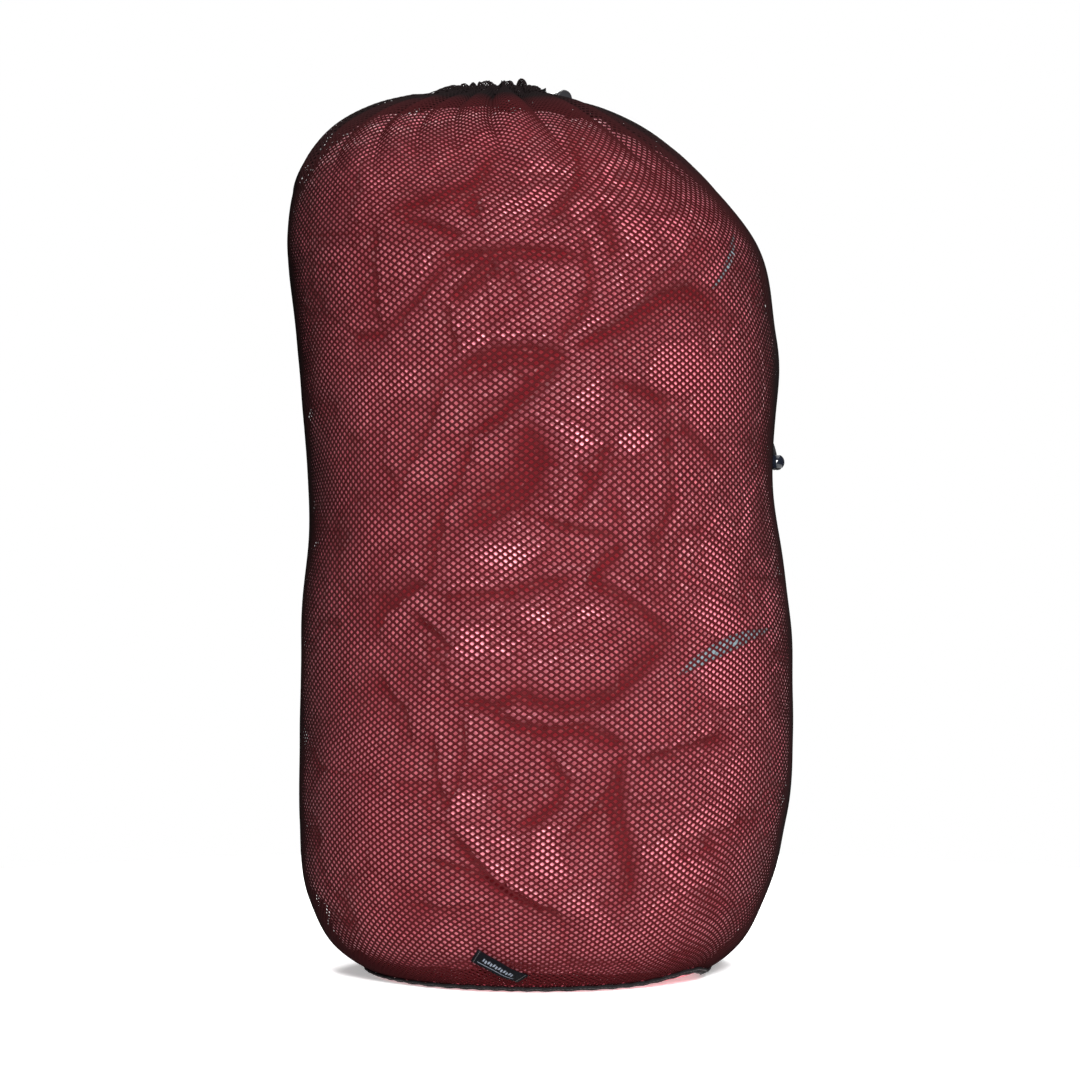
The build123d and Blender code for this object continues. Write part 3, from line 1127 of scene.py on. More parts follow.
@dataclass
class Gathers:
    """Pleats that the drawcord pulls into the net round the mouth.

    Fields hold the number of pleats and of the rounder scallops that they open into, their height
    at the mouth, the profile length from the mouth over which they fade, the angle at which the
    tails leave, the half angles of the flat there and how deep the cord lock presses into it.
    """

    pleats: int = 27
    scallops: int = 24
    rise: float = 0.0090
    fade: float = 0.165
    exit_angle: float = EXIT_ANGLE
    flat_inner: float = math.radians(22)
    flat_outer: float = math.radians(40)
    dent: float = 0.0026

    def openness(self, angle: np.ndarray) -> np.ndarray:
        """0 where the tails and their lock lie, 1 away from them."""
        away = np.abs((angle - self.exit_angle + math.pi) % TURN - math.pi)
        return ease(away, self.flat_inner, self.flat_outer)

    def wave(self, angle: np.ndarray, reach: np.ndarray) -> np.ndarray:
        """Pleat profile of -1 to 1 at an angle and a profile length from the mouth.

        Args:
            angle: Angle around the mouth.
            reach: Profile length from the mouth.

        Returns:
            Sharp crests and round valleys.
        """
        swing = 0.30 * np.sin(3 * angle + 1.1) + 0.22 * np.sin(7 * angle + 4.0 + reach * 18)
        swing += 0.16 * np.sin(11 * angle + 2.3) + 0.5 * reach * 12 * np.sin(5 * angle + 0.4)
        base = np.cos(self.pleats * angle + 2.2 * swing)
        second = np.cos(2 * self.pleats * angle + 3.1 * swing + 1.3)
        return np.clip(np.sign(base) * np.abs(base) ** 0.8 + 0.22 * second, -1.1, 1.1)

    def lift(self, angle: np.ndarray, reach: np.ndarray) -> np.ndarray:
        """Distance that the net stands off its form at an angle and a profile length from the mouth."""
        near = np.clip(1 - reach / self.fade, 0, 1)
        vary = 0.84 + 0.24 * np.sin(4 * angle + 0.6) + 0.18 * np.sin(9 * angle + 2.0)
        tight = self.wave(angle, reach) * 0.72 + 0.28
        sway = 0.9 * np.sin(3 * angle + 0.5) + 0.7 * np.sin(5 * angle + 2.2)
        round_top = np.abs(np.cos(self.scallops * angle / 2 + sway)) ** 0.7
        away = ease(reach, 0.006, 0.034)
        standing = tight * near * (1 - away) + (round_top * 1.3 - 0.45) * near**0.6 * away
        free = self.openness(angle)
        pressed = self.dent * (1 - free) * ease(reach, 0.002, 0.012) * ease(reach, 0.075, 0.045)
        return self.rise * vary * standing * free - pressed


@dataclass
class NetSkin:
    """Where the net lies: the form, eased over the contents, with folds and gathers."""

    form: SackForm
    gathers: Gathers = field(default_factory=Gathers)
    swell: Ripple = Ripple(seed=5, waves=36, around=7, shortest=0.16)
    ruck: Ripple = Ripple(seed=12, waves=46, around=16, shortest=0.055)

    def lumps(self, angle: np.ndarray, along: np.ndarray) -> np.ndarray:
        """Soft waviness that the net shares with what it holds."""
        quiet = ease(along, 0.02, 0.12) * ease(self.form.length() - along, 0.04, 0.16)
        return (0.0016 * self.swell.at(angle, along) + 0.0005 * self.ruck.at(angle, along)) * quiet

    def lie(self, angle: np.ndarray, along: np.ndarray, out: float = 0.0) -> np.ndarray:
        """Points of the net's outer face, moved out by so much."""
        reach = self.form.length() - along
        lift = self.lumps(angle, along) + self.gathers.lift(angle, reach) + out
        return self.form.points(angle, along) + self.form.normals(angle, along) * lift[..., None]

    def front(self, x: float, z: float, out: float) -> tuple[np.ndarray, np.ndarray]:
        """Place on the front of the net.

        Args:
            x: Distance to the right of the origin.
            z: Height on the form.
            out: How far to move out of the net's face.

        Returns:
            The place and the outward direction there.
        """
        angle, along = self.form.front_site(x, z)
        normal = self.form.normals(angle, along)[0]
        return self.form.points(angle, along)[0] + normal * (self.lumps(angle, along)[0] + out), normal


@dataclass(frozen=True)
class FootSeam:
    """Where the net meets the nylon foot, which rides up and shows at the front right.

    Fields hold its height, how far it rides up along the profile, where and over what angle.
    """

    height: float = 0.0042
    lift: float = 0.0155
    lift_angle: float = math.radians(-37)
    spread: float = 0.25

    def along(self, form: SackForm, angle: np.ndarray) -> np.ndarray:
        """Profile length of the seam at angles around the form."""
        away = (angle - self.lift_angle + math.pi) % TURN - math.pi
        rise = self.lift * np.exp(-((away / self.spread) ** 2))
        return form.along(self.height) + rise + 0.0005 * np.sin(9 * angle)


@dataclass
class NetWall:
    """The knitted mesh: staggered six-sided cells with a hole in each, in eight panels.

    Fields hold the columns of cells around, the rows up, the panels, the share of a column's pitch
    that a cell's flat top takes, the hole's share of its cell and how much lower than wide it is,
    the rim's drop and the wall's depth, how far the net reaches past the seam and stays short of
    the mouth, and how its rows drift.
    """

    skin: NetSkin
    seam: FootSeam
    columns: int = 320
    rows: int = 156
    panels: int = 8
    flat_top: float = 0.20
    open_share: float = 0.655
    height_share: float = 0.82
    rim_drop: float = -0.00025
    wall: float = -0.00045
    overlap: float = 0.002
    mouth_gap: float = 0.004
    drift: Ripple = Ripple(seed=21, waves=30, around=5, shortest=0.20)

    def _corners(self, column: np.ndarray, level: np.ndarray) -> np.ndarray:
        """Points of cell corners at a column (a number with a part) and a half-row level."""
        angle = column * TURN / self.columns
        low = self.seam.along(self.skin.form, angle) - self.overlap
        high = self.skin.form.length() - self.mouth_gap
        share = level / (2 * self.rows)
        share = share + 0.035 * np.sin(math.pi * share) * (1 - 2 * share) - 0.018 * np.sin(TURN * share)
        along = low + share * (high - low)
        calm = ease(share, 0.0, 0.06) * ease(1 - share, 0.0, 0.10)
        along = along + 0.0032 * calm * self.drift.at(angle, along)
        angle = angle + 0.010 * calm * self.drift.at(angle + 2.0, along + 0.3)
        return self.skin.lie(angle, along)

    def panel(self, number: int) -> bpy.types.Object:
        """Builds one panel of cells, without its holes."""
        wide = self.columns // self.panels
        corners, cells = honeycomb(range(number * wide, (number + 1) * wide), self.rows)
        half = 1 - self.flat_top
        place = self._corners(
            corners[:, 0] + np.where(corners[:, 2] > 0, half, -half),
            np.clip(corners[:, 1], 0, 2 * self.rows + 1),
        )
        return mesh_piece(f"net_panel_{number + 1}", place, cells)

    def build(self, finish: NetFinish) -> list[bpy.types.Object]:
        tree = perforation_tree()
        values = {
            "Rim drop": self.rim_drop,
            "Open share": self.open_share,
            "Height share": self.height_share,
            "Wall": self.wall,
            "Finish": finish.material(),
        }
        made = []
        for number in range(self.panels):
            piece = tree.grow(self.panel(number), values)
            dress(piece, finish.material())
            made.append(piece)
            triangles = sum(len(p.vertices) - 2 for p in piece.data.polygons)
            LOG.info("%s: %d triangles", piece.name, triangles)
        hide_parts("mesh_body")
        return made


# --- the gathered hem --------------------------------------------------------------------------


@dataclass
class GatheredHem:
    """Folded edge of the net round the mouth, bunched over the drawcord.

    Fields hold the mouth's place, the hem's profile as (reach from the mouth's axis, height), the
    angles of its tufts and their height, the cells around and across it, how far its bunches swing
    and how high their tips stand, then the same sizes of its cells as the net's.
    """

    gathers: Gathers
    centre: tuple[float, float] = (-0.036, 0.014)
    profile: tuple[tuple[float, float], ...] = (
        (0.0435, 0.6965),
        (0.0415, 0.6985),
        (0.0395, 0.7015),
        (0.0370, 0.7046),
        (0.0340, 0.7060),
        (0.0308, 0.7050),
        (0.0280, 0.7020),
        (0.0268, 0.6985),
        (0.0272, 0.6940),
    )
    tufts: tuple[float, ...] = (math.radians(-101), math.radians(-74), math.radians(-50))
    tuft_rise: float = 0.0042
    columns: int = 312
    rows: int = 9
    swing: float = 0.0016
    tip: float = 0.0010
    flat_top: float = 0.20
    open_share: float = 0.58
    rim_drop: float = -0.00018
    wall: float = -0.00050

    def _place(self, angle: np.ndarray, share: np.ndarray) -> np.ndarray:
        """Points of the bunched hem at an angle and a share of its profile."""
        rows = np.array(self.profile)
        knots = np.linspace(0, 1, len(rows))
        base = smooth_curve(knots, rows, np.clip(share, 0, 1))
        near = smooth_curve(knots, rows, np.clip(share + 0.02, 0, 1))
        back = smooth_curve(knots, rows, np.clip(share - 0.02, 0, 1))
        run = unit(near - back)
        out = np.stack([run[..., 1], -run[..., 0]], axis=-1)
        wave = self.gathers.wave(angle, np.zeros_like(angle))
        fine = np.cos(71 * angle + 1.4 * np.sin(6 * angle) + 4.0 * share)
        calm = 0.25 + 0.75 * self.gathers.openness(angle)
        top = np.exp(-(((share - 0.45) / 0.22) ** 2))
        tall = 1 + 0.55 * np.sin(5 * angle + 1.0) + 0.35 * np.sin(13 * angle + 0.3)
        lift = calm * self.swing * (0.62 * wave + 0.25 * fine)
        spot = base + out * lift[..., None]
        height = spot[..., 1] + calm * top * self.tip * np.clip(wave, -0.4, 1) * tall * 0.7
        for tuft in self.tufts:
            away = (angle - tuft + math.pi) % TURN - math.pi
            height = height + top * self.tuft_rise * np.exp(-((away / 0.085) ** 2))
        lean = 0.05 * wave * np.sin(8 * angle)
        return np.stack(
            [
                self.centre[0] + spot[..., 0] * np.cos(angle + lean),
                self.centre[1] + spot[..., 0] * np.sin(angle + lean),
                height,
            ],
            axis=-1,
        )

    def build(self, finish: NetFinish) -> bpy.types.Object:
        """Builds the hem as mesh cells with small holes."""
        corners, cells = honeycomb(range(self.columns), self.rows, self.columns)
        half = 1 - self.flat_top
        column = corners[:, 0] + np.where(corners[:, 2] > 0, half, -half)
        place = self._place(column * TURN / self.columns, corners[:, 1] / (2 * self.rows + 2))
        piece = mesh_piece("gathered_hem", place, cells)
        values = {
            "Rim drop": self.rim_drop,
            "Open share": self.open_share,
            "Height share": 1.0,
            "Wall": self.wall,
            "Finish": finish.material(),
        }
        perforation_tree().grow(piece, values)
        dress(piece, finish.material())
        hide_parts("drawcord_channel")
        return piece


# --- what the sack holds -----------------------------------------------------------------------


Line = tuple[tuple[float, float], ...]


@dataclass(frozen=True)
class Crease:
    """A fold drawn on the bag as seen from the front, in millimetres right and up.

    Fields hold its points, its depth and its half width, how far the cloth on its upper side
    stands out over it, and how many times slower it runs out on its lower side.
    """

    line: Line
    depth: float = 9.0
    width: float = 3.2
    lip: float = 2.0
    drape: float = 3.0

    def distance(self, x: np.ndarray, z: np.ndarray) -> tuple[np.ndarray, np.ndarray, np.ndarray]:
        """Distance to the line, the side it is on (1 above) and the share of the way along it."""
        best = np.full(x.shape, 1e9)
        side = np.zeros(x.shape)
        share = np.zeros(x.shape)
        line = np.array(self.line) * MM
        step = np.linalg.norm(np.diff(line, axis=0), axis=1)
        start = np.concatenate([[0], np.cumsum(step)])
        for number, (a, b) in enumerate(zip(line, line[1:])):
            run = b - a
            t = np.clip(((x - a[0]) * run[0] + (z - a[1]) * run[1]) / (run @ run), 0, 1)
            dx, dz = x - a[0] - t * run[0], z - a[1] - t * run[1]
            away = np.hypot(dx, dz)
            nearer = away < best
            best = np.where(nearer, away, best)
            side = np.where(nearer, np.sign(run[0] * dz - run[1] * dx), side)
            share = np.where(nearer, (start[number] + t * step[number]) / start[-1], share)
        return best, side, share


# Long folds where the cloth doubles over itself.
DEEP_FOLDS: tuple[Line, ...] = (
    ((-71, 486), (-40, 497), (-10, 499), (17, 495), (23, 491)),
    ((30, 498), (43, 507), (74, 522), (97, 537), (116, 545), (131, 547), (150, 533)),
    ((-84, 568), (-80, 573), (-48, 576), (-17, 579), (20, 577), (36, 571)),
    ((-99, 310), (-117, 299), (-132, 288), (-140, 270)),
    ((40, 310), (46, 318), (55, 330), (70, 343)),
    ((116, 268), (97, 246), (66, 219), (40, 208), (20, 206), (-2, 211), (-21, 216), (-40, 208), (-82, 214)),
    ((-48, 208), (-32, 201), (-17, 196), (5, 192), (40, 195), (66, 182), (78, 175)),
    ((78, 175), (69, 158), (70, 124), (76, 97), (79, 70), (74, 47)),
    ((-77, 112), (-56, 86), (-33, 63), (-6, 48), (20, 36)),
    ((-77, 537), (-56, 556), (-44, 568), (-36, 558)),
    ((-56, 629), (-52, 609)),
    ((-130, 608), (-115, 617), (-82, 629), (-56, 640), (-40, 663)),
    ((21, 491), (5, 472), (-21, 450), (-33, 438), (-59, 427)),
)

# Ordinary creases between the bulges.
PLAIN_FOLDS: tuple[Line, ...] = (
    ((30, 600), (40, 580), (44, 552), (39, 529), (21, 510), (11, 499)),
    ((-78, 533), (-76, 514), (-71, 491)),
    ((-80, 476), (-55, 486), (-17, 491), (5, 488)),
    ((-139, 600), (-140, 560), (-138, 530), (-130, 512)),
    ((-132, 511), (-98, 545), (-80, 566)),
    ((-158, 507), (-132, 510)),
    ((-125, 606), (-100, 604), (-82, 598), (-63, 589)),
    ((5, 604), (20, 621), (30, 636), (34, 655), (26, 690)),
    ((52, 618), (58, 600), (64, 580), (60, 570)),
    ((59, 472), (85, 466), (104, 457), (113, 448)),
    ((110, 440), (112, 408), (115, 377), (104, 350), (96, 325)),
    ((118, 440), (135, 422), (158, 404)),
    ((55, 419), (53, 400), (40, 380), (28, 366)),
    ((0, 364), (17, 358), (59, 350), (70, 347)),
    ((-78, 480), (-88, 452), (-98, 428), (-112, 402), (-120, 381)),
    ((-56, 438), (-63, 408), (-78, 377), (-94, 347), (-102, 326)),
    ((-99, 310), (-94, 333), (-84, 360)),
    ((-99, 308), (-82, 300), (-37, 303), (2, 312), (36, 316)),
    ((-112, 286), (-97, 276), (-75, 257)),
    ((40, 312), (62, 307), (78, 297), (97, 284), (116, 268)),
    ((-138, 240), (-134, 228), (-115, 208), (-107, 177)),
    ((79, 170), (98, 170), (120, 179), (150, 187), (166, 184)),
    ((20, 101), (40, 122), (59, 140), (68, 150)),
    ((0, 178), (5, 173), (24, 150), (17, 131), (-2, 116), (-25, 110)),
    ((-67, 204), (-65, 170), (-74, 140), (-77, 124)),
    ((-92, 190), (-90, 165), (-86, 143), (-77, 124)),
    ((-98, 88), (-71, 80), (-40, 67), (-17, 55)),
)

# Shallow creases that run out on a bulge.
FAINT_FOLDS: tuple[Line, ...] = (
    ((-29, 571), (-19, 552), (-10, 530)),
    ((74, 522), (97, 552), (120, 568), (135, 594)),
    ((55, 407), (74, 408), (100, 418)),
    ((58, 392), (64, 376), (72, 347)),
    ((-130, 438), (-132, 404), (-120, 377)),
    ((-26, 313), (-10, 322), (2, 332), (10, 342)),
    ((84, 300), (97, 322), (110, 352)),
    ((74, 131), (97, 131), (116, 135)),
    ((-25, 110), (-33, 128), (-38, 150)),
    ((-66, 150), (-52, 162), (-40, 173)),
    ((-124, 149), (-90, 147)),
    ((-120, 47), (-82, 45), (-44, 48), (-28, 44)),
)
FRONT_CREASES = (
    *(Crease(line, 10.5, 2.8, 2.4) for line in DEEP_FOLDS),
    *(Crease(line, 6.5, 2.4, 1.8) for line in PLAIN_FOLDS),
    *(Crease(line, 3.5, 2.2, 1.2) for line in FAINT_FOLDS),
    Crease(((-12, 436), (-3, 410), (-14, 390), (-40, 368), (-67, 355)), 10.5, 9.0, 2.0, 1.6),
)


@dataclass
class StuffedBag:
    """The sleeping bag pushed into the sack: a closed skin, creased and wrinkled by simulation.

    Fields hold the columns and rows that are simulated and those of its finished skin, how much
    denser its columns are in front, how far it starts inside the form, how close it may come to
    the net, how deep it may sink, the share by which its cloth outgrows the form, its gaps to the
    floor and the mouth, the frames of the simulation and the depth of its fine crinkles.
    """

    skin: NetSkin
    columns: int = 250
    rows: int = 176
    fine_columns: int = 500
    fine_rows: int = 430
    crowding: float = 0.27
    slide: float = 0.009
    inset: float = 0.0080
    nearest: float = 0.0022
    deepest: float = 0.030
    growth: float = 0.115
    floor_gap: float = 0.0045
    top_inset: float = 0.016
    frames: int = 20
    crinkle_depth: float = 0.0036
    folds: Ripple = Ripple(seed=31, waves=60, around=15, shortest=0.050)
    pinches: Ripple = Ripple(seed=47, waves=40, around=8, shortest=0.12)
    bulges: Ripple = Ripple(seed=53, waves=30, around=5, shortest=0.19)
    crinkles: Ripple = Ripple(seed=61, waves=70, around=40, shortest=0.022)
    clumps: Ripple = Ripple(seed=67, waves=30, around=9, shortest=0.10)

    def _sites(self, columns: int, rows: int) -> tuple[np.ndarray, np.ndarray]:
        """Angle and profile length of each vertex of a side grid, closer together in front."""
        low = self.skin.form.along(0.0062)
        high = self.skin.form.length() - 0.006
        along = low + np.linspace(0, 1, rows) * (high - low)
        turn = np.linspace(0, TURN, columns, endpoint=False)
        return np.meshgrid(turn - self.crowding * np.sin(turn + math.pi / 2), along)

    def _creases(self, place: np.ndarray, broad: float) -> tuple[np.ndarray, np.ndarray]:
        """The front's drawn creases.

        Args:
            place: Points of the form.
            broad: Factor on the creases' width.

        Returns:
            Their depth at each point, and how close it is to the bottom of one, 0 to 1.
        """
        forward = ease(-place[..., 1], 0.0, 0.06)
        view = EYE_BACK / (EYE_BACK + place[..., 1])
        x = place[..., 0] * view
        z = EYE_HEIGHT + (place[..., 2] - EYE_HEIGHT) * view
        depth = np.zeros(x.shape)
        close = np.zeros(x.shape)
        for crease in FRONT_CREASES:
            away, side, share = crease.distance(x, z)
            taper = np.clip(np.minimum(share, 1 - share) * 5 + 0.25, 0, 1)
            width = crease.width * MM * broad
            reach = width * np.where(side > 0, 1.0, crease.drape)
            fall = np.exp(-(away / reach))
            lip = np.exp(-(((away - 2.2 * width) / (1.3 * width)) ** 2)) * (0.5 + 0.5 * side)
            depth += taper * MM * (crease.depth * fall - crease.lip * lip)
            close = np.maximum(close, taper * crease.depth / 11 * np.exp(-((away / (0.75 * reach)) ** 1.1)))
        return depth * forward, close * forward

    def _slack(self, surface: np.ndarray) -> np.ndarray:
        """How far the bag stays back where the net hangs loose: upper right and lower left."""
        x, z = surface[..., 0], surface[..., 2]
        right = np.exp(-(((x - 0.088) / 0.040) ** 2) - ((z - 0.668) / 0.026) ** 2)
        left = np.exp(-(((x + 0.165) / 0.030) ** 2) - ((z - 0.040) / 0.030) ** 2)
        return 0.012 * right + 0.007 * left

    def _start(self, angle: np.ndarray, along: np.ndarray) -> tuple[np.ndarray, np.ndarray]:
        """How far inside the net each point of the side grid starts, and how hard it keeps its place."""
        form = self.skin.form
        surface = form.points(angle, along)
        drawn, close = self._creases(surface, 1.7)
        ridge = np.abs(self.folds.at(angle, along))
        pinch = np.abs(self.pinches.at(angle + 0.06 * self.folds.at(angle, along), along))
        crack = np.exp(-((pinch / 0.10) ** 2))
        unseen = 1 - 0.75 * ease(-surface[..., 1], 0.02, 0.10)
        bulge = self.bulges.at(angle, along)
        depth = self.inset + 0.65 * drawn + 0.0022 * (1 - np.clip(ridge, 0, 1.4))
        depth += 0.0085 * crack * unseen - 0.0022 * np.clip(bulge, -1.5, 1.5)
        hold = np.maximum(close, 0.9 * np.exp(-((pinch / 0.045) ** 2)) * unseen)
        top = ease(form.length() - along, 0.075, 0.02)
        depth += self.top_inset * top * 0.5 + self._slack(surface) + 0.003 * ease(along, 0.07, 0.0)
        return np.clip(depth, self.nearest, self.deepest), hold

    def _skin(self, angle: np.ndarray, along: np.ndarray, depth: np.ndarray) -> np.ndarray:
        """Points so far inside the net's own lie."""
        form = self.skin.form
        out = self.skin.lumps(angle, along) - depth
        return form.points(angle, along) + form.normals(angle, along) * out[..., None]

    def _finer(self, values: np.ndarray) -> np.ndarray:
        """Values of the simulated grid, read smoothly on the finished skin's grid."""
        wide = np.concatenate([values[:, -3:], values, values[:, :3]], axis=1)
        across = np.linspace(0, self.columns, self.fine_columns, endpoint=False)
        row = smooth_curve(np.arange(wide.shape[1], dtype=float), wide.T, across + 3).T
        up = np.linspace(0, self.rows - 1, self.fine_rows)
        return smooth_curve(np.arange(self.rows, dtype=float), row, up)

    @staticmethod
    def _cap_faces(columns: int, rows: int) -> list[tuple[int, ...]]:
        """Faces of a side grid and of the fans that close its floor and its crown."""
        faces = [tuple(face) for face in grid_faces(rows, columns, True)]
        count, total = columns, rows * columns
        last = (rows - 1) * count
        for i in range(count):
            after = (i + 1) % count
            faces.append((after, i, total))
            faces.append((last + i, last + after, total + 1))
        return faces

    def _points(self, side: np.ndarray) -> np.ndarray:
        """The side grid with a vertex added at the middle of its floor and its crown."""
        side = side.copy()
        side[..., 2] = np.maximum(side[..., 2], self.floor_gap)
        return np.vstack([side.reshape(-1, 3), side[0].mean(axis=0), side[-1].mean(axis=0)])

    def _relax(self, piece: bpy.types.Object, hold: np.ndarray) -> np.ndarray:
        """Lets the cloth outgrow its shape under a little pressure.

        Args:
            piece: The start mesh.
            hold: How hard each vertex keeps its place, 0 to 1.

        Returns:
            The vertices after the last frame.
        """
        group = piece.vertex_groups.new(name="Hold")
        for value in np.unique(np.round(hold, 2)):
            members = np.nonzero(np.round(hold, 2) == value)[0].tolist()
            group.add(members, float(value), "REPLACE")
        cloth = piece.modifiers.new("Cloth", "CLOTH")
        soft = cloth.settings
        soft.quality = 4
        soft.mass = 0.12
        soft.tension_stiffness = soft.compression_stiffness = 12
        soft.shear_stiffness = 4
        soft.bending_stiffness = 0.35
        soft.tension_damping = soft.compression_damping = 12
        soft.bending_damping = 0.6
        soft.air_damping = 2.0
        soft.vertex_group_mass = "Hold"
        soft.pin_stiffness = 1.6
        soft.shrink_min = -self.growth
        soft.use_pressure = True
        soft.uniform_pressure_force = 4.0
        soft.effector_weights.gravity = 0.0
        cloth.collision_settings.use_collision = False
        cloth.point_cache.frame_start = 1
        cloth.point_cache.frame_end = self.frames
        scene = bpy.context.scene
        for frame in range(1, self.frames + 1):
            scene.frame_set(frame)
        graph = bpy.context.evaluated_depsgraph_get()
        settled = piece.evaluated_get(graph).to_mesh()
        moved = np.zeros(len(settled.vertices) * 3)
        settled.vertices.foreach_get("co", moved)
        piece.evaluated_get(graph).to_mesh_clear()
        piece.modifiers.remove(cloth)
        piece.vertex_groups.clear()
        scene.frame_set(1)
        return moved.reshape(-1, 3)

    def _settle(self, angle: np.ndarray, along: np.ndarray) -> tuple[np.ndarray, ...]:
        """Runs the simulation and reads where its cloth lies.

        Args:
            angle: Angle of each point of the side grid.
            along: Profile length of each point.

        Returns:
            The points' angle and profile length after they slid, and their distance inside the net.
        """
        form = self.skin.form
        depth, hold = self._start(angle, along)
        start = self._skin(angle, along, depth)
        piece = mesh_piece("bag_cloth", self._points(start), self._cap_faces(self.columns, self.rows))
        weight = np.concatenate([np.clip(0.045 + hold, 0, 1).ravel(), [1.0, 1.0]])
        weight[: self.columns] = 0.5
        moved = self._relax(piece, weight)[:-2].reshape(start.shape)
        mesh = piece.data
        bpy.data.objects.remove(piece)
        bpy.data.meshes.remove(mesh)
        climb, round_it = form.tangents(angle, along)
        shift = moved - form.points(angle, along)
        inward = -(shift * form.normals(angle, along)).sum(axis=-1) + self.skin.lumps(angle, along)
        around = np.linalg.norm(round_it, axis=-1)
        up = np.clip((shift * unit(climb)).sum(axis=-1), -self.slide, self.slide)
        aside = np.clip((shift * round_it).sum(axis=-1) / around, -self.slide, self.slide)
        return angle + aside / around, along + up, inward

    def build(self, finish: ShellFinish) -> bpy.types.Object:
        angle, along = self._sites(self.columns, self.rows)
        slid_angle, slid_along, inward = self._settle(angle, along)
        fine_angle, fine_along = self._sites(self.fine_columns, self.fine_rows)
        fine_angle = fine_angle + self._finer(slid_angle - angle)
        fine_along = fine_along + self._finer(slid_along - along)
        surface = self.skin.form.points(fine_angle, fine_along)
        drawn, close = self._creases(surface, 1.0)
        ridge = np.exp(-((self.crinkles.at(fine_angle, fine_along) / 0.13) ** 2))
        ridge *= ease(self.clumps.at(fine_angle, fine_along), -0.7, 0.8)
        gap = self._finer(inward) + 0.8 * drawn + self.crinkle_depth * ridge - self.nearest
        depth = np.minimum(self.nearest + 0.5 * (gap + np.sqrt(gap * gap + 0.0011**2)), self.deepest)
        points = self._points(self._skin(fine_angle, fine_along, depth))
        piece = mesh_piece("stuffed_bag", points, self._cap_faces(self.fine_columns, self.fine_rows))
        # Painted shade for the shell's colour: a share that grows in crease bottoms, along the crinkles and
        # where the cloth sinks deep under the net.
        sunk = np.clip((depth - 0.006) / 0.016, 0, 1)
        fold = np.clip(close * 0.85 + sunk * 0.75 + 0.55 * ridge, 0, 1)
        layer = piece.data.attributes.new("Fold", "FLOAT", "POINT")
        layer.data.foreach_set("value", np.concatenate([fold.ravel(), [1, 1]]).astype(np.float32))
        piece.data.update()
        dress(piece, finish.material())
        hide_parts("sleeping_bag")
        return piece


@dataclass
class LiningFold:
    """A crescent of the bag's lining, showing where its shell gapes behind the net.

    Fields hold its two ends as seen from the front, the rise of its lower and upper edge at the
    middle, how far behind the net's face it lies and the CAD node that it stands for.
    """

    skin: NetSkin
    name: str
    node: str
    start: tuple[float, float]
    end: tuple[float, float]
    low_rise: float
    high_rise: float
    behind: float = 0.0021
    crown: float = 0.0012
    steps: int = 40
    across: int = 8

    def build(self, finish: LiningFinish) -> bpy.types.Object:
        a, b = np.array(self.start), np.array(self.end)
        run = b - a
        lift = np.array([-run[1], run[0]]) / np.linalg.norm(run)
        points = []
        for i in range(self.steps + 1):
            t = i / self.steps
            arch = 4 * t * (1 - t)
            for j in range(self.across + 1):
                s = j / self.across
                rise = self.low_rise + (self.high_rise - self.low_rise) * s
                spot = a + run * t + lift * rise * arch
                ruck = 0.0004 * math.sin(t * 31 + s * 5) + 0.0003 * math.sin(t * 57 - s * 3)
                out = -self.behind + self.crown * math.sin(math.pi * s) * arch + ruck * arch
                place, _ = self.skin.front(spot[0], spot[1], out)
                points.append(place)
        faces = grid_faces(self.steps + 1, self.across + 1, False)
        piece = mesh_piece(self.name, np.array(points), faces)
        thick = piece.modifiers.new("Cloth thickness", "SOLIDIFY")
        thick.thickness = 0.0004
        thick.offset = -1
        width, length = (self.high_rise - self.low_rise), float(np.linalg.norm(run))
        dress(piece, finish.material())
        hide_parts(self.node)
        max(width * 1.35, 0.0105)
        length * 1.15
        width * length * 0.95
        return piece


# Name, CAD node, both ends, and the rise of the lower and upper edge of each strip.
LINING_STRIPS = (
    ("lining_crescent_lower", "lining_fold_lower", (0.1050, 0.2420), (0.1800, 0.2758), -0.0010, 0.0105),
    ("lining_crescent_upper", "lining_fold_upper", (0.1314, 0.5350), (0.1508, 0.5877), -0.0092, -0.0042),
)


# --- sewn trim ---------------------------------------------------------------------------------


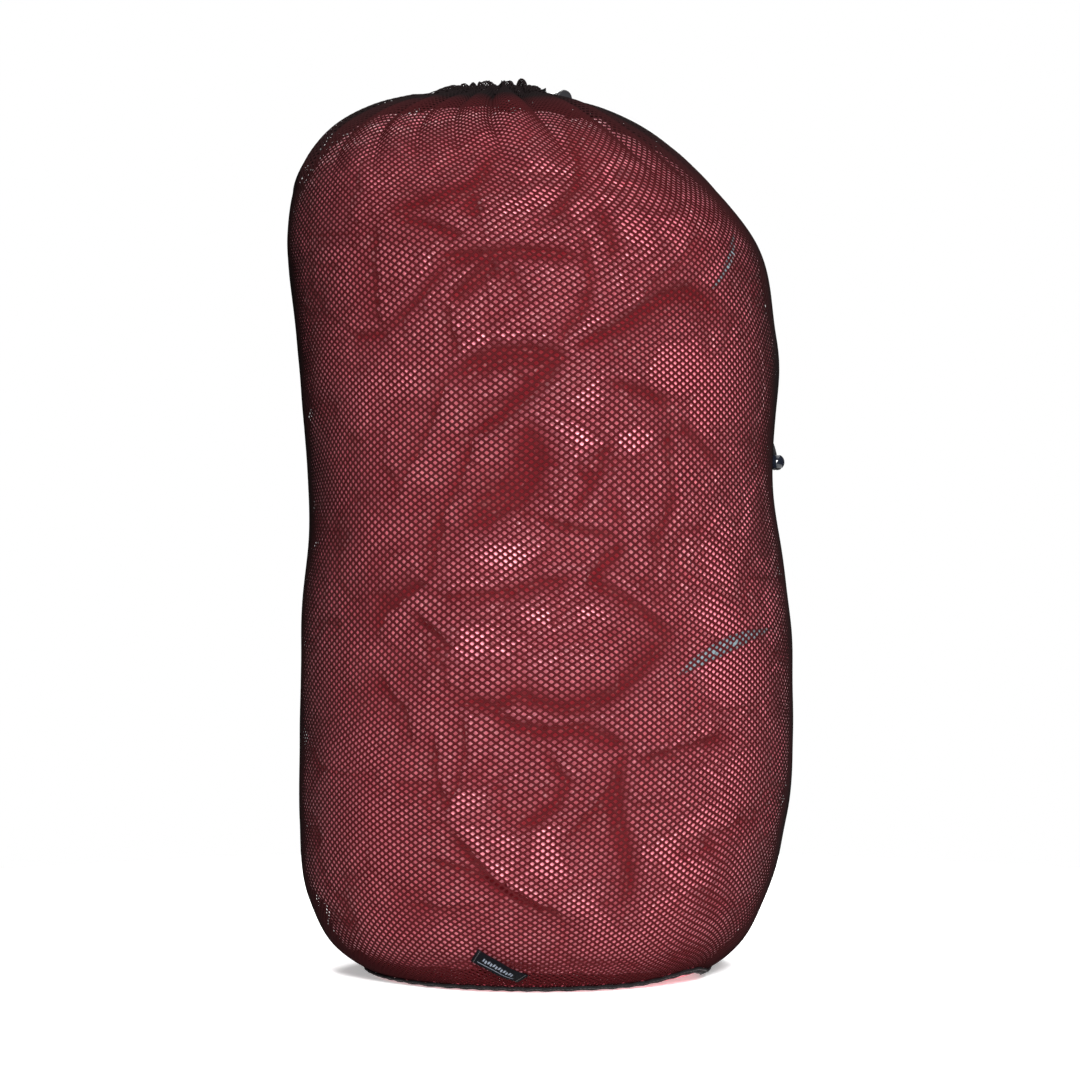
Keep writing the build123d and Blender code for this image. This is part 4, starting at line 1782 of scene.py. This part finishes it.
@dataclass
class BasePanel:
    """The nylon dish that closes the foot, up to its seam with the net.

    Fields hold the rings and columns of its mesh, its cloth's thickness, its height over the floor
    and how far it runs up under the seam.
    """

    form: SackForm
    seam: FootSeam
    rings: int = 26
    columns: int = 220
    thick: float = 0.0009
    floor_gap: float = 0.0016
    allowance: float = 0.003

    def _dish(self, out: float) -> np.ndarray:
        """Points of the dish from its middle to its seam, moved out by so much."""
        angle = np.linspace(0, TURN, self.columns, endpoint=False)
        rim = self.seam.along(self.form, angle) + self.allowance
        floor = self.floor_gap - out
        rows = []
        foot = self.form.points(angle, np.zeros_like(angle))
        middle = foot.mean(axis=0)
        inner = int(self.rings * 0.5)
        for number in range(inner):
            share = (number + 1) / (inner + 1)
            ring = middle + (foot - middle) * share
            ring[:, 2] = floor + 0.0006 * np.sin(5 * angle + 9 * share) * share * (1 - share)
            rows.append(ring)
        for number in range(self.rings - inner):
            share = number / (self.rings - inner - 1)
            along = rim * share
            pucker = 0.0005 * np.sin(46 * angle + 1.5 * np.sin(5 * angle)) * share
            place = self.form.points(angle, along)
            place += self.form.normals(angle, along) * (pucker + out - 0.0008)[:, None]
            place[:, 2] = np.maximum(place[:, 2], floor)
            rows.append(place)
        return np.vstack([np.array(rows).reshape(-1, 3), middle + [0, 0, floor]])

    def build(self, finish: ShellFinish) -> bpy.types.Object:
        """Builds the dish as a thin closed shell."""
        count, rows = self.columns, self.rings
        total = rows * count + 1
        outer, inner = self._dish(0.0), self._dish(-self.thick)
        side = grid_faces(rows, count, True)
        faces = [tuple(f) for f in side]
        faces += [tuple(reversed(tuple(f + total))) for f in side]
        last = (rows - 1) * count
        for i in range(count):
            after = (i + 1) % count
            faces.append((after, i, rows * count))
            faces.append((total + i, total + after, total + rows * count))
            faces.append((last + i, last + after, total + last + after, total + last + i))
        piece = mesh_piece("base_dish", np.vstack([outer, inner]), faces)
        close_up(piece)
        dress(piece, finish.material())
        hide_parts("base_panel")
        return piece


@dataclass
class BaseBinding:
    """Tape folded over the base seam, with two rows of stitches."""

    form: SackForm
    seam: FootSeam
    width: float = 0.0074
    thick: float = 0.0018
    steps: int = 300

    def build(self, finish: TapeFinish, thread: ThreadFinish) -> list[bpy.types.Object]:
        """Builds the tape and its stitches."""
        form = self.form
        angle = np.linspace(0, TURN, self.steps, endpoint=False)
        along = self.seam.along(form, angle)
        outs = form.normals(angle, along)
        wrinkle = 0.0003 * np.sin(58 * angle + 2 * np.sin(7 * angle))
        centres = form.points(angle, along) + outs * (0.0012 + wrinkle)[:, None]
        forward = unit(np.roll(centres, -1, axis=0) - np.roll(centres, 1, axis=0))
        sides = unit(np.cross(outs, forward))
        tape = Ribbon(self.width, self.thick).sweep("base_seam_binding", centres, sides, outs, True)
        dress(tape, finish.material())
        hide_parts("base_binding")
        face = outs * (self.thick / 2 - 0.0001)
        rows = [centres + sides * self.width * place + face for place in (-0.28, 0.30)]
        return stitched(tape, rows, True, Stitching("base_stitches", thread, 0.0034))


@dataclass
class BackSeamTape:
    """Tape up the back, where the net is joined into a tube."""

    skin: NetSkin
    width: float = 0.014
    thick: float = 0.0011
    low: float = 0.020
    high: float = 0.640
    steps: int = 240

    def build(self, finish: TapeFinish, thread: ThreadFinish) -> list[bpy.types.Object]:
        """Builds the tape and its stitches."""
        form = self.skin.form
        along = np.linspace(form.along(self.low), form.along(self.high), self.steps)
        ring = form.ring(along)
        sway = 0.0012 * np.sin(along * 21) + 0.0006 * np.sin(along * 47 + 1)
        angle = np.arccos(np.clip((sway - ring[:, 3]) / ring[:, 1], -1, 1))
        outs = form.normals(angle, along)
        pucker = 0.00025 * np.sin(along * 700)
        centres = self.skin.lie(angle, along) + outs * (0.0006 + pucker)[:, None]
        forward = unit(np.gradient(centres, axis=0))
        sides = unit(np.cross(outs, forward))
        tape = Ribbon(self.width, self.thick).sweep("back_seam", centres, sides, outs, False)
        dress(tape, finish.material())
        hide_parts("back_seam_tape")
        face = outs * (self.thick / 2 - 0.00005)
        rows = [centres + sides * self.width * place + face for place in (-0.34, 0.34)]
        return stitched(tape, rows, False, Stitching("back_stitches", thread, 0.0036))


@dataclass
class SewnLabel:
    """Small folded label on the foot of the front, tacked at both ends.

    Fields hold its middle, length, width, tilt and thickness, and its number of steps.
    """

    skin: NetSkin
    x: float = -0.031
    z: float = 0.0235
    length: float = 0.041
    width: float = 0.0135
    tilt: float = math.radians(-28)
    thick: float = 0.0010
    steps: int = 60

    def build(self, finish: LabelFinish, thread: ThreadFinish) -> list[bpy.types.Object]:
        """Builds the label and its tacks."""
        centres, outs = [], []
        for i in range(self.steps + 1):
            t = i / self.steps
            reach = (t - 0.5) * self.length
            curl = 0.0011 * math.sin(math.pi * t) ** 2 + 0.0004 * math.sin(t * 11)
            place, normal = self.skin.front(
                self.x + reach * math.cos(self.tilt),
                self.z + reach * math.sin(self.tilt),
                0.0013 + curl,
            )
            centres.append(place)
            outs.append(normal)
        centres, outs = np.array(centres), np.array(outs)
        forward = unit(np.gradient(centres, axis=0))
        sides = unit(np.cross(outs, forward))
        label = Ribbon(self.width, self.thick).sweep("sewn_label", centres, sides, outs, False)
        dress(label, finish.material())
        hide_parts("woven_label")
        span = np.linspace(-0.42, 0.42, 12)[:, None]
        rows = [
            centres[i] + sides[i] * self.width * span + outs[i] * self.thick * 0.5
            for i in (3, self.steps - 3)
        ]
        tacks = Stitching("label_tack", thread, 0.0016, 0.00045)
        return stitched(label, rows, False, tacks)


# --- drawcord and its fittings -----------------------------------------------------------------


@dataclass
class CordTail:
    """One braided tail of the drawcord, from the channel to the knot.

    Fields hold its name, its CAD node, its route in millimetres, its diameter, its braid's pitch,
    strands and strand thickness as a share of the diameter, how far the strands weave in and out,
    the sides of a strand and the distance between points along it.
    """

    name: str
    node: str
    route: tuple[Point, ...]
    diameter: float = 0.0030
    pitch: float = 0.0105
    strands: int = 8
    strand_share: float = 0.155
    weave: float = 0.00007
    sides: int = 5
    step: float = 0.0008

    def line(self) -> np.ndarray:
        """Evenly spaced points along the route's smooth spline."""
        data = bpy.data.curves.new(self.name + "_line", "CURVE")
        data.dimensions = "3D"
        data.resolution_u = 40
        spline = data.splines.new("NURBS")
        spline.points.add(len(self.route) - 1)
        for point, place in zip(spline.points, self.route):
            point.co = (*(v * MM for v in place), 1.0)
        spline.order_u = 3
        spline.use_endpoint_u = True
        holder = bpy.data.objects.new(data.name, data)
        bpy.context.scene.collection.objects.link(holder)
        graph = bpy.context.evaluated_depsgraph_get()
        mesh = bpy.data.meshes.new_from_object(holder.evaluated_get(graph), depsgraph=graph)
        points = np.zeros(len(mesh.vertices) * 3)
        mesh.vertices.foreach_get("co", points)
        points = points.reshape(-1, 3)
        bpy.data.objects.remove(holder)
        bpy.data.curves.remove(data)
        bpy.data.meshes.remove(mesh)
        along = np.concatenate([[0], np.cumsum(np.linalg.norm(np.diff(points, axis=0), axis=1))])
        even = np.linspace(0, along[-1], int(along[-1] / self.step))
        return np.column_stack([np.interp(even, along, points[:, k]) for k in range(3)])

    def build(self, finish: CordFinish, fittings: Sequence[bpy.types.Object]) -> bpy.types.Object:
        line = self.line()
        a, b = untwisted(line)
        step = np.linalg.norm(np.diff(line, axis=0), axis=1).mean()
        along = np.arange(len(line)) * step
        thread = self.diameter * self.strand_share
        mean = self.diameter / 2 - thread * 1.02
        core, faces = round_tube(line, mean * 0.93, 8)
        points, count = [core], len(core)
        for strand in range(self.strands):
            way = 1 if strand % 2 else -1
            phase = way * along * TURN / self.pitch + (strand // 2) * TURN * 2 / self.strands
            weave = self.weave * way * np.cos(along * TURN / self.pitch * self.strands / 2)
            radius = mean + weave
            path = line + a * (radius * np.cos(phase))[:, None] + b * (radius * np.sin(phase))[:, None]
            ring, more = round_tube(path, thread, self.sides)
            faces += [tuple(v + count for v in face) for face in more]
            points.append(ring)
            count += len(ring)
        piece = mesh_piece(self.name, np.vstack(points), faces)
        close_up(piece)
        dress(piece, finish.material())
        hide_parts(self.node)
        return piece


FRONT_ROUTE: tuple[Point, ...] = (
    (-4.59, 20.11, 703.65),
    (-5.79, 26.27, 703.65),
    (-0.40, 28.78, 702.82),
    (36.39, 45.93, 697.11),
    (44.47, 49.70, 695.86),
    (70.5, 51.5, 680.5),
    (97.5, 52.5, 661.5),
    (124.0, 51.0, 638.0),
    (150.5, 48.0, 613.0),
    (173.0, 45.5, 583.0),
    (184.0, 42.5, 547.0),
    (187.0, 39.5, 510.0),
    (187.5, 36.5, 474.0),
    (184.6, 41.5, 433.0),
    (190.4, 31.0, 415.5),
    (191.4, 29.35, 405.7),
)
BACK_ROUTE: tuple[Point, ...] = (
    (-11.13, 34.14, 703.65),
    (-7.18, 29.26, 703.65),
    (-1.80, 31.77, 702.82),
    (35.00, 48.93, 697.11),
    (43.08, 52.70, 695.86),
    (71.0, 59.5, 679.0),
    (97.5, 63.0, 659.5),
    (122.5, 62.5, 636.5),
    (147.5, 59.5, 612.0),
    (169.5, 56.0, 584.0),
    (181.0, 51.5, 548.0),
    (184.5, 47.0, 511.0),
    (186.0, 42.5, 474.0),
    (183.9, 44.8, 432.0),
    (190.4, 34.3, 415.5),
    (191.4, 32.65, 405.7),
)


@dataclass
class EndKnot:
    """Overhand knot of both tails, pulled up into the bead's foot."""

    centre: Point = (0.1914, 0.0310, 0.4029)
    reach: float = 0.0026
    thread: float = 0.00145
    steps: int = 150
    sides: int = 10

    def build(self, finish: CordFinish) -> bpy.types.Object:
        """Builds the knot as one closed tube."""
        turn = np.linspace(0, TURN, self.steps, endpoint=False)
        swell = 0.62 + 0.38 * np.cos(3 * turn)
        line = np.column_stack(
            [
                np.cos(2 * turn) * self.reach * swell * 1.05,
                np.sin(2 * turn) * self.reach * swell * 1.05,
                np.sin(3 * turn) * 0.00095,
            ]
        ) + np.array(self.centre)
        forward = unit(np.roll(line, -1, axis=0) - np.roll(line, 1, axis=0))
        up = np.array([0.0, 0.0, 1.0])
        side = unit(np.cross(forward, up))
        over = np.cross(side, forward)
        ring = np.linspace(0, TURN, self.sides, endpoint=False)
        points = line[:, None] + self.thread * (
            side[:, None] * np.cos(ring)[None, :, None] + over[:, None] * np.sin(ring)[None, :, None]
        )
        faces = [tuple(f) for f in grid_faces(self.steps, self.sides, True)]
        faces += joining_faces(self.steps, self.sides)
        piece = mesh_piece("end_knot", points, faces)
        close_up(piece)
        dress(piece, finish.material())
        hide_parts("cord_end_knot")
        return piece


@dataclass
class LockSpring:
    """The spring inside the cord lock.

    Fields hold its wire's radius, its coils' radius, its length at rest, its turns and the joint
    that presses it.
    """

    wire: float = 0.00035
    reach: float = 0.0032
    tall: float = 0.0070
    turns: float = 5.0
    press: str = "plunger_press"

    def build(self, finish: MetalFinish, travel: float) -> bpy.types.Object:
        """Winds the spring in its CAD place.

        Args:
            finish: The wire's finish.
            travel: How far the button goes in, in metres.

        Returns:
            The spring.
        """
        low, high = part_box("lock_spring")
        centre = np.array((low + high) / 2)
        axis = unit(np.array([-math.sin(EXIT_ANGLE), math.cos(EXIT_ANGLE), 0.0]))
        tall = self.tall - 2 * self.wire
        aside = np.array([0.0, 0.0, 1.0])
        cross = np.cross(axis, aside)
        turn = np.linspace(0, TURN * self.turns, int(self.turns * 28))
        share = turn / turn[-1]
        rise = (ease(share, 0.0, 1.0) * 0.35 + share * 0.65 - 0.5) * tall
        line = centre + axis * rise[:, None] + self.reach * (
            aside * np.cos(turn)[:, None] + cross * np.sin(turn)[:, None]
        )
        points, faces = round_tube(line, self.wire, 8)
        piece = mesh_piece("coil_spring", points, faces)
        close_up(piece)
        dress(piece, finish.material(), Body.LOCK)
        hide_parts("lock_spring")
        anchor = centre - axis * (tall / 2 + self.wire)
        keep = (tall + 2 * self.wire - travel) / (tall + 2 * self.wire)
        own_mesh(piece)
        return piece


# --- studio ------------------------------------------------------------------------------------


@dataclass
class Studio:
    """Pale floor, white surroundings that give little light, soft lights and the camera.

    Fields hold the camera's place, lens and sensor, the share of light that the surroundings give
    and the floor's radius.
    """

    camera_place: Point = (0.0, -EYE_BACK, EYE_HEIGHT)
    lens: float = 104.17
    sensor: float = 36.0
    ambient: float = 0.10
    paper: float = 0.95

    def _paper(self) -> None:
        """The floor."""
        finish = StudioFinish("Paper")
        turn = np.linspace(0, TURN, 96, endpoint=False)
        rim = np.stack([np.cos(turn), np.sin(turn), np.zeros_like(turn)], axis=-1) * self.paper
        floor = mesh_piece("floor", rim, [tuple(range(len(turn)))], smooth=False)
        floor.data.materials.append(finish.material())

    def _area(self, name: str, place: Point, aim: Point, size: tuple[float, float], power: float) -> None:
        """Adds one soft rectangular light."""
        data = bpy.data.lights.new(name, "AREA")
        data.shape = "RECTANGLE"
        data.size, data.size_y = size
        data.energy = power
        lamp = bpy.data.objects.new(name, data)
        lamp.location = place
        lamp.rotation_euler = (Vector(aim) - Vector(place)).to_track_quat("-Z", "Y").to_euler()
        bpy.context.scene.collection.objects.link(lamp)

    def build(self) -> None:
        """Builds floor, lights, world and camera."""
        self._paper()
        self._area("key_light", (0.45, -2.75, 1.30), (0, 0, 0.38), (0.6, 0.6), 196.0)
        self._area("front_fill", (0.0, -3.2, 0.35), (0, 0, 0.30), (0.8, 0.8), 46.0)
        self._area("top_light", (0.2, 0.0, 3.0), (0, 0, 0.0), (3.0, 3.0), 80.0)
        self._area("back_light", (-0.5, 2.5, 2.5), (0, 0, 0.35), (1.1, 1.1), 120.0)
        world = bpy.data.worlds.new("Room")
        world.use_nodes = True
        world.node_tree.nodes.clear()
        room = Tree(world.node_tree)
        path = room.node("ShaderNodeLightPath")
        glow = room.node(
            "ShaderNodeMapRange",
            None,
            {"Value": path.outputs["Is Camera Ray"], "To Min": self.ambient, "To Max": 1.0},
        )
        light = room.node(
            "ShaderNodeBackground", None, {"Color": (1, 1, 1, 1), "Strength": glow.outputs[0]}
        )
        room.node("ShaderNodeOutputWorld", None, {"Surface": light.outputs[0]})
        scene = bpy.context.scene
        scene.world = world
        scene.view_settings.view_transform = "Standard"
        data = bpy.data.cameras.new("view")
        data.lens = self.lens
        data.sensor_width = self.sensor
        data.clip_end = 60
        camera = bpy.data.objects.new("view", data)
        camera.location = self.camera_place
        camera.rotation_euler = (math.radians(90), 0, 0)
        scene.collection.objects.link(camera)
        scene.camera = camera


# --- all together ------------------------------------------------------------------------------


@dataclass
class Sack:
    """The whole object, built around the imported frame."""

    frame: dict
    form: SackForm = field(default_factory=SackForm)

    def dress_fittings(self) -> None:
        """Gives the CAD nodes that stay in view their finishes."""
        cord = CordFinish()
        brass = MetalFinish("EyeletMetal", (0.10, 0.10, 0.105), (0.030, 0.029, 0.030), 0.36)
        body = MouldedFinish("LockBody")
        button = MouldedFinish("LockButton", (0.007, 0.007, 0.008), (0.020, 0.020, 0.023), 0.32)
        bead = MouldedFinish(
            "BeadGloss", (0.0034, 0.0042, 0.0078), (0.007, 0.009, 0.015), 0.20, 0.15, 0.45
        )
        patch = MouldedFinish(
            "PatchCloth", (0.004, 0.0036, 0.004), (0.012, 0.011, 0.0115), 0.7, 1.0, 0.0, 0.08
        )
        finishes = {
            "eyelet": brass,
            "eyelet_washer": brass,
            "drawcord_loop": cord,
            "exit_patch": patch,
            "lock_barrel": body,
            "lock_plunger": button,
            "cord_end_bead": bead,
        }
        for node, finish in finishes.items():
            piece = self.frame["nodes"][node]
            piece.data.materials.clear()
            piece.data.materials.append(finish.material())

    def build(self) -> None:
        """Builds every piece in order."""
        nodes = self.frame["nodes"]
        net = NetFinish()
        shell = ShellFinish("BagShell", folded=True)
        panel = ShellFinish("BaseNylon", (0.72, 0.085, 0.135), (0.50, 0.035, 0.065))
        tape = TapeFinish("BlackTape")
        thread = ThreadFinish()
        cord = CordFinish()
        gathers = Gathers()
        skin = NetSkin(self.form, gathers)
        seam = FootSeam()
        self.dress_fittings()
        LOG.info("bag: %s", StuffedBag(skin).build(shell).name)
        for strip in LINING_STRIPS:
            LOG.info("lining: %s", LiningFold(skin, *strip).build(LiningFinish()).name)
        NetWall(skin, seam).build(net)
        LOG.info("hem: %s", GatheredHem(gathers).build(NetFinish("HemMesh", glow_top=0.0)).name)
        LOG.info("base: %s", BasePanel(self.form, seam).build(panel).name)
        trims = BaseBinding(self.form, seam).build(tape, thread)
        trims += BackSeamTape(skin).build(tape, thread)
        trims += SewnLabel(skin).build(LabelFinish(), thread)
        for piece in trims:
            LOG.info("trim: %s", piece.name)
        knot = EndKnot().build(cord)
        travel = next(j for j in self.frame["joints"] if j["name"] == "plunger_press")["range_m"][1]
        steel = MetalFinish("SpringSteel", (0.55, 0.55, 0.56), (0.30, 0.30, 0.31), 0.26)
        spring = LockSpring().build(steel, travel)
        fittings = [nodes["lock_barrel"], nodes["lock_plunger"], nodes["cord_end_bead"], spring, knot]
        CordTail("cord_tail_front", "drawcord_tail_front", FRONT_ROUTE).build(cord, fittings)
        CordTail("cord_tail_back", "drawcord_tail_back", BACK_ROUTE).build(cord, [])


def main() -> None:
    """Loads the frame and builds the sack and its studio around it."""
    logging.basicConfig(level=logging.INFO, format="%(name)s: %(message)s", stream=sys.stdout)
    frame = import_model()
    Studio().build()
    Sack(frame).build()


if __name__ == "__main__":
    main()
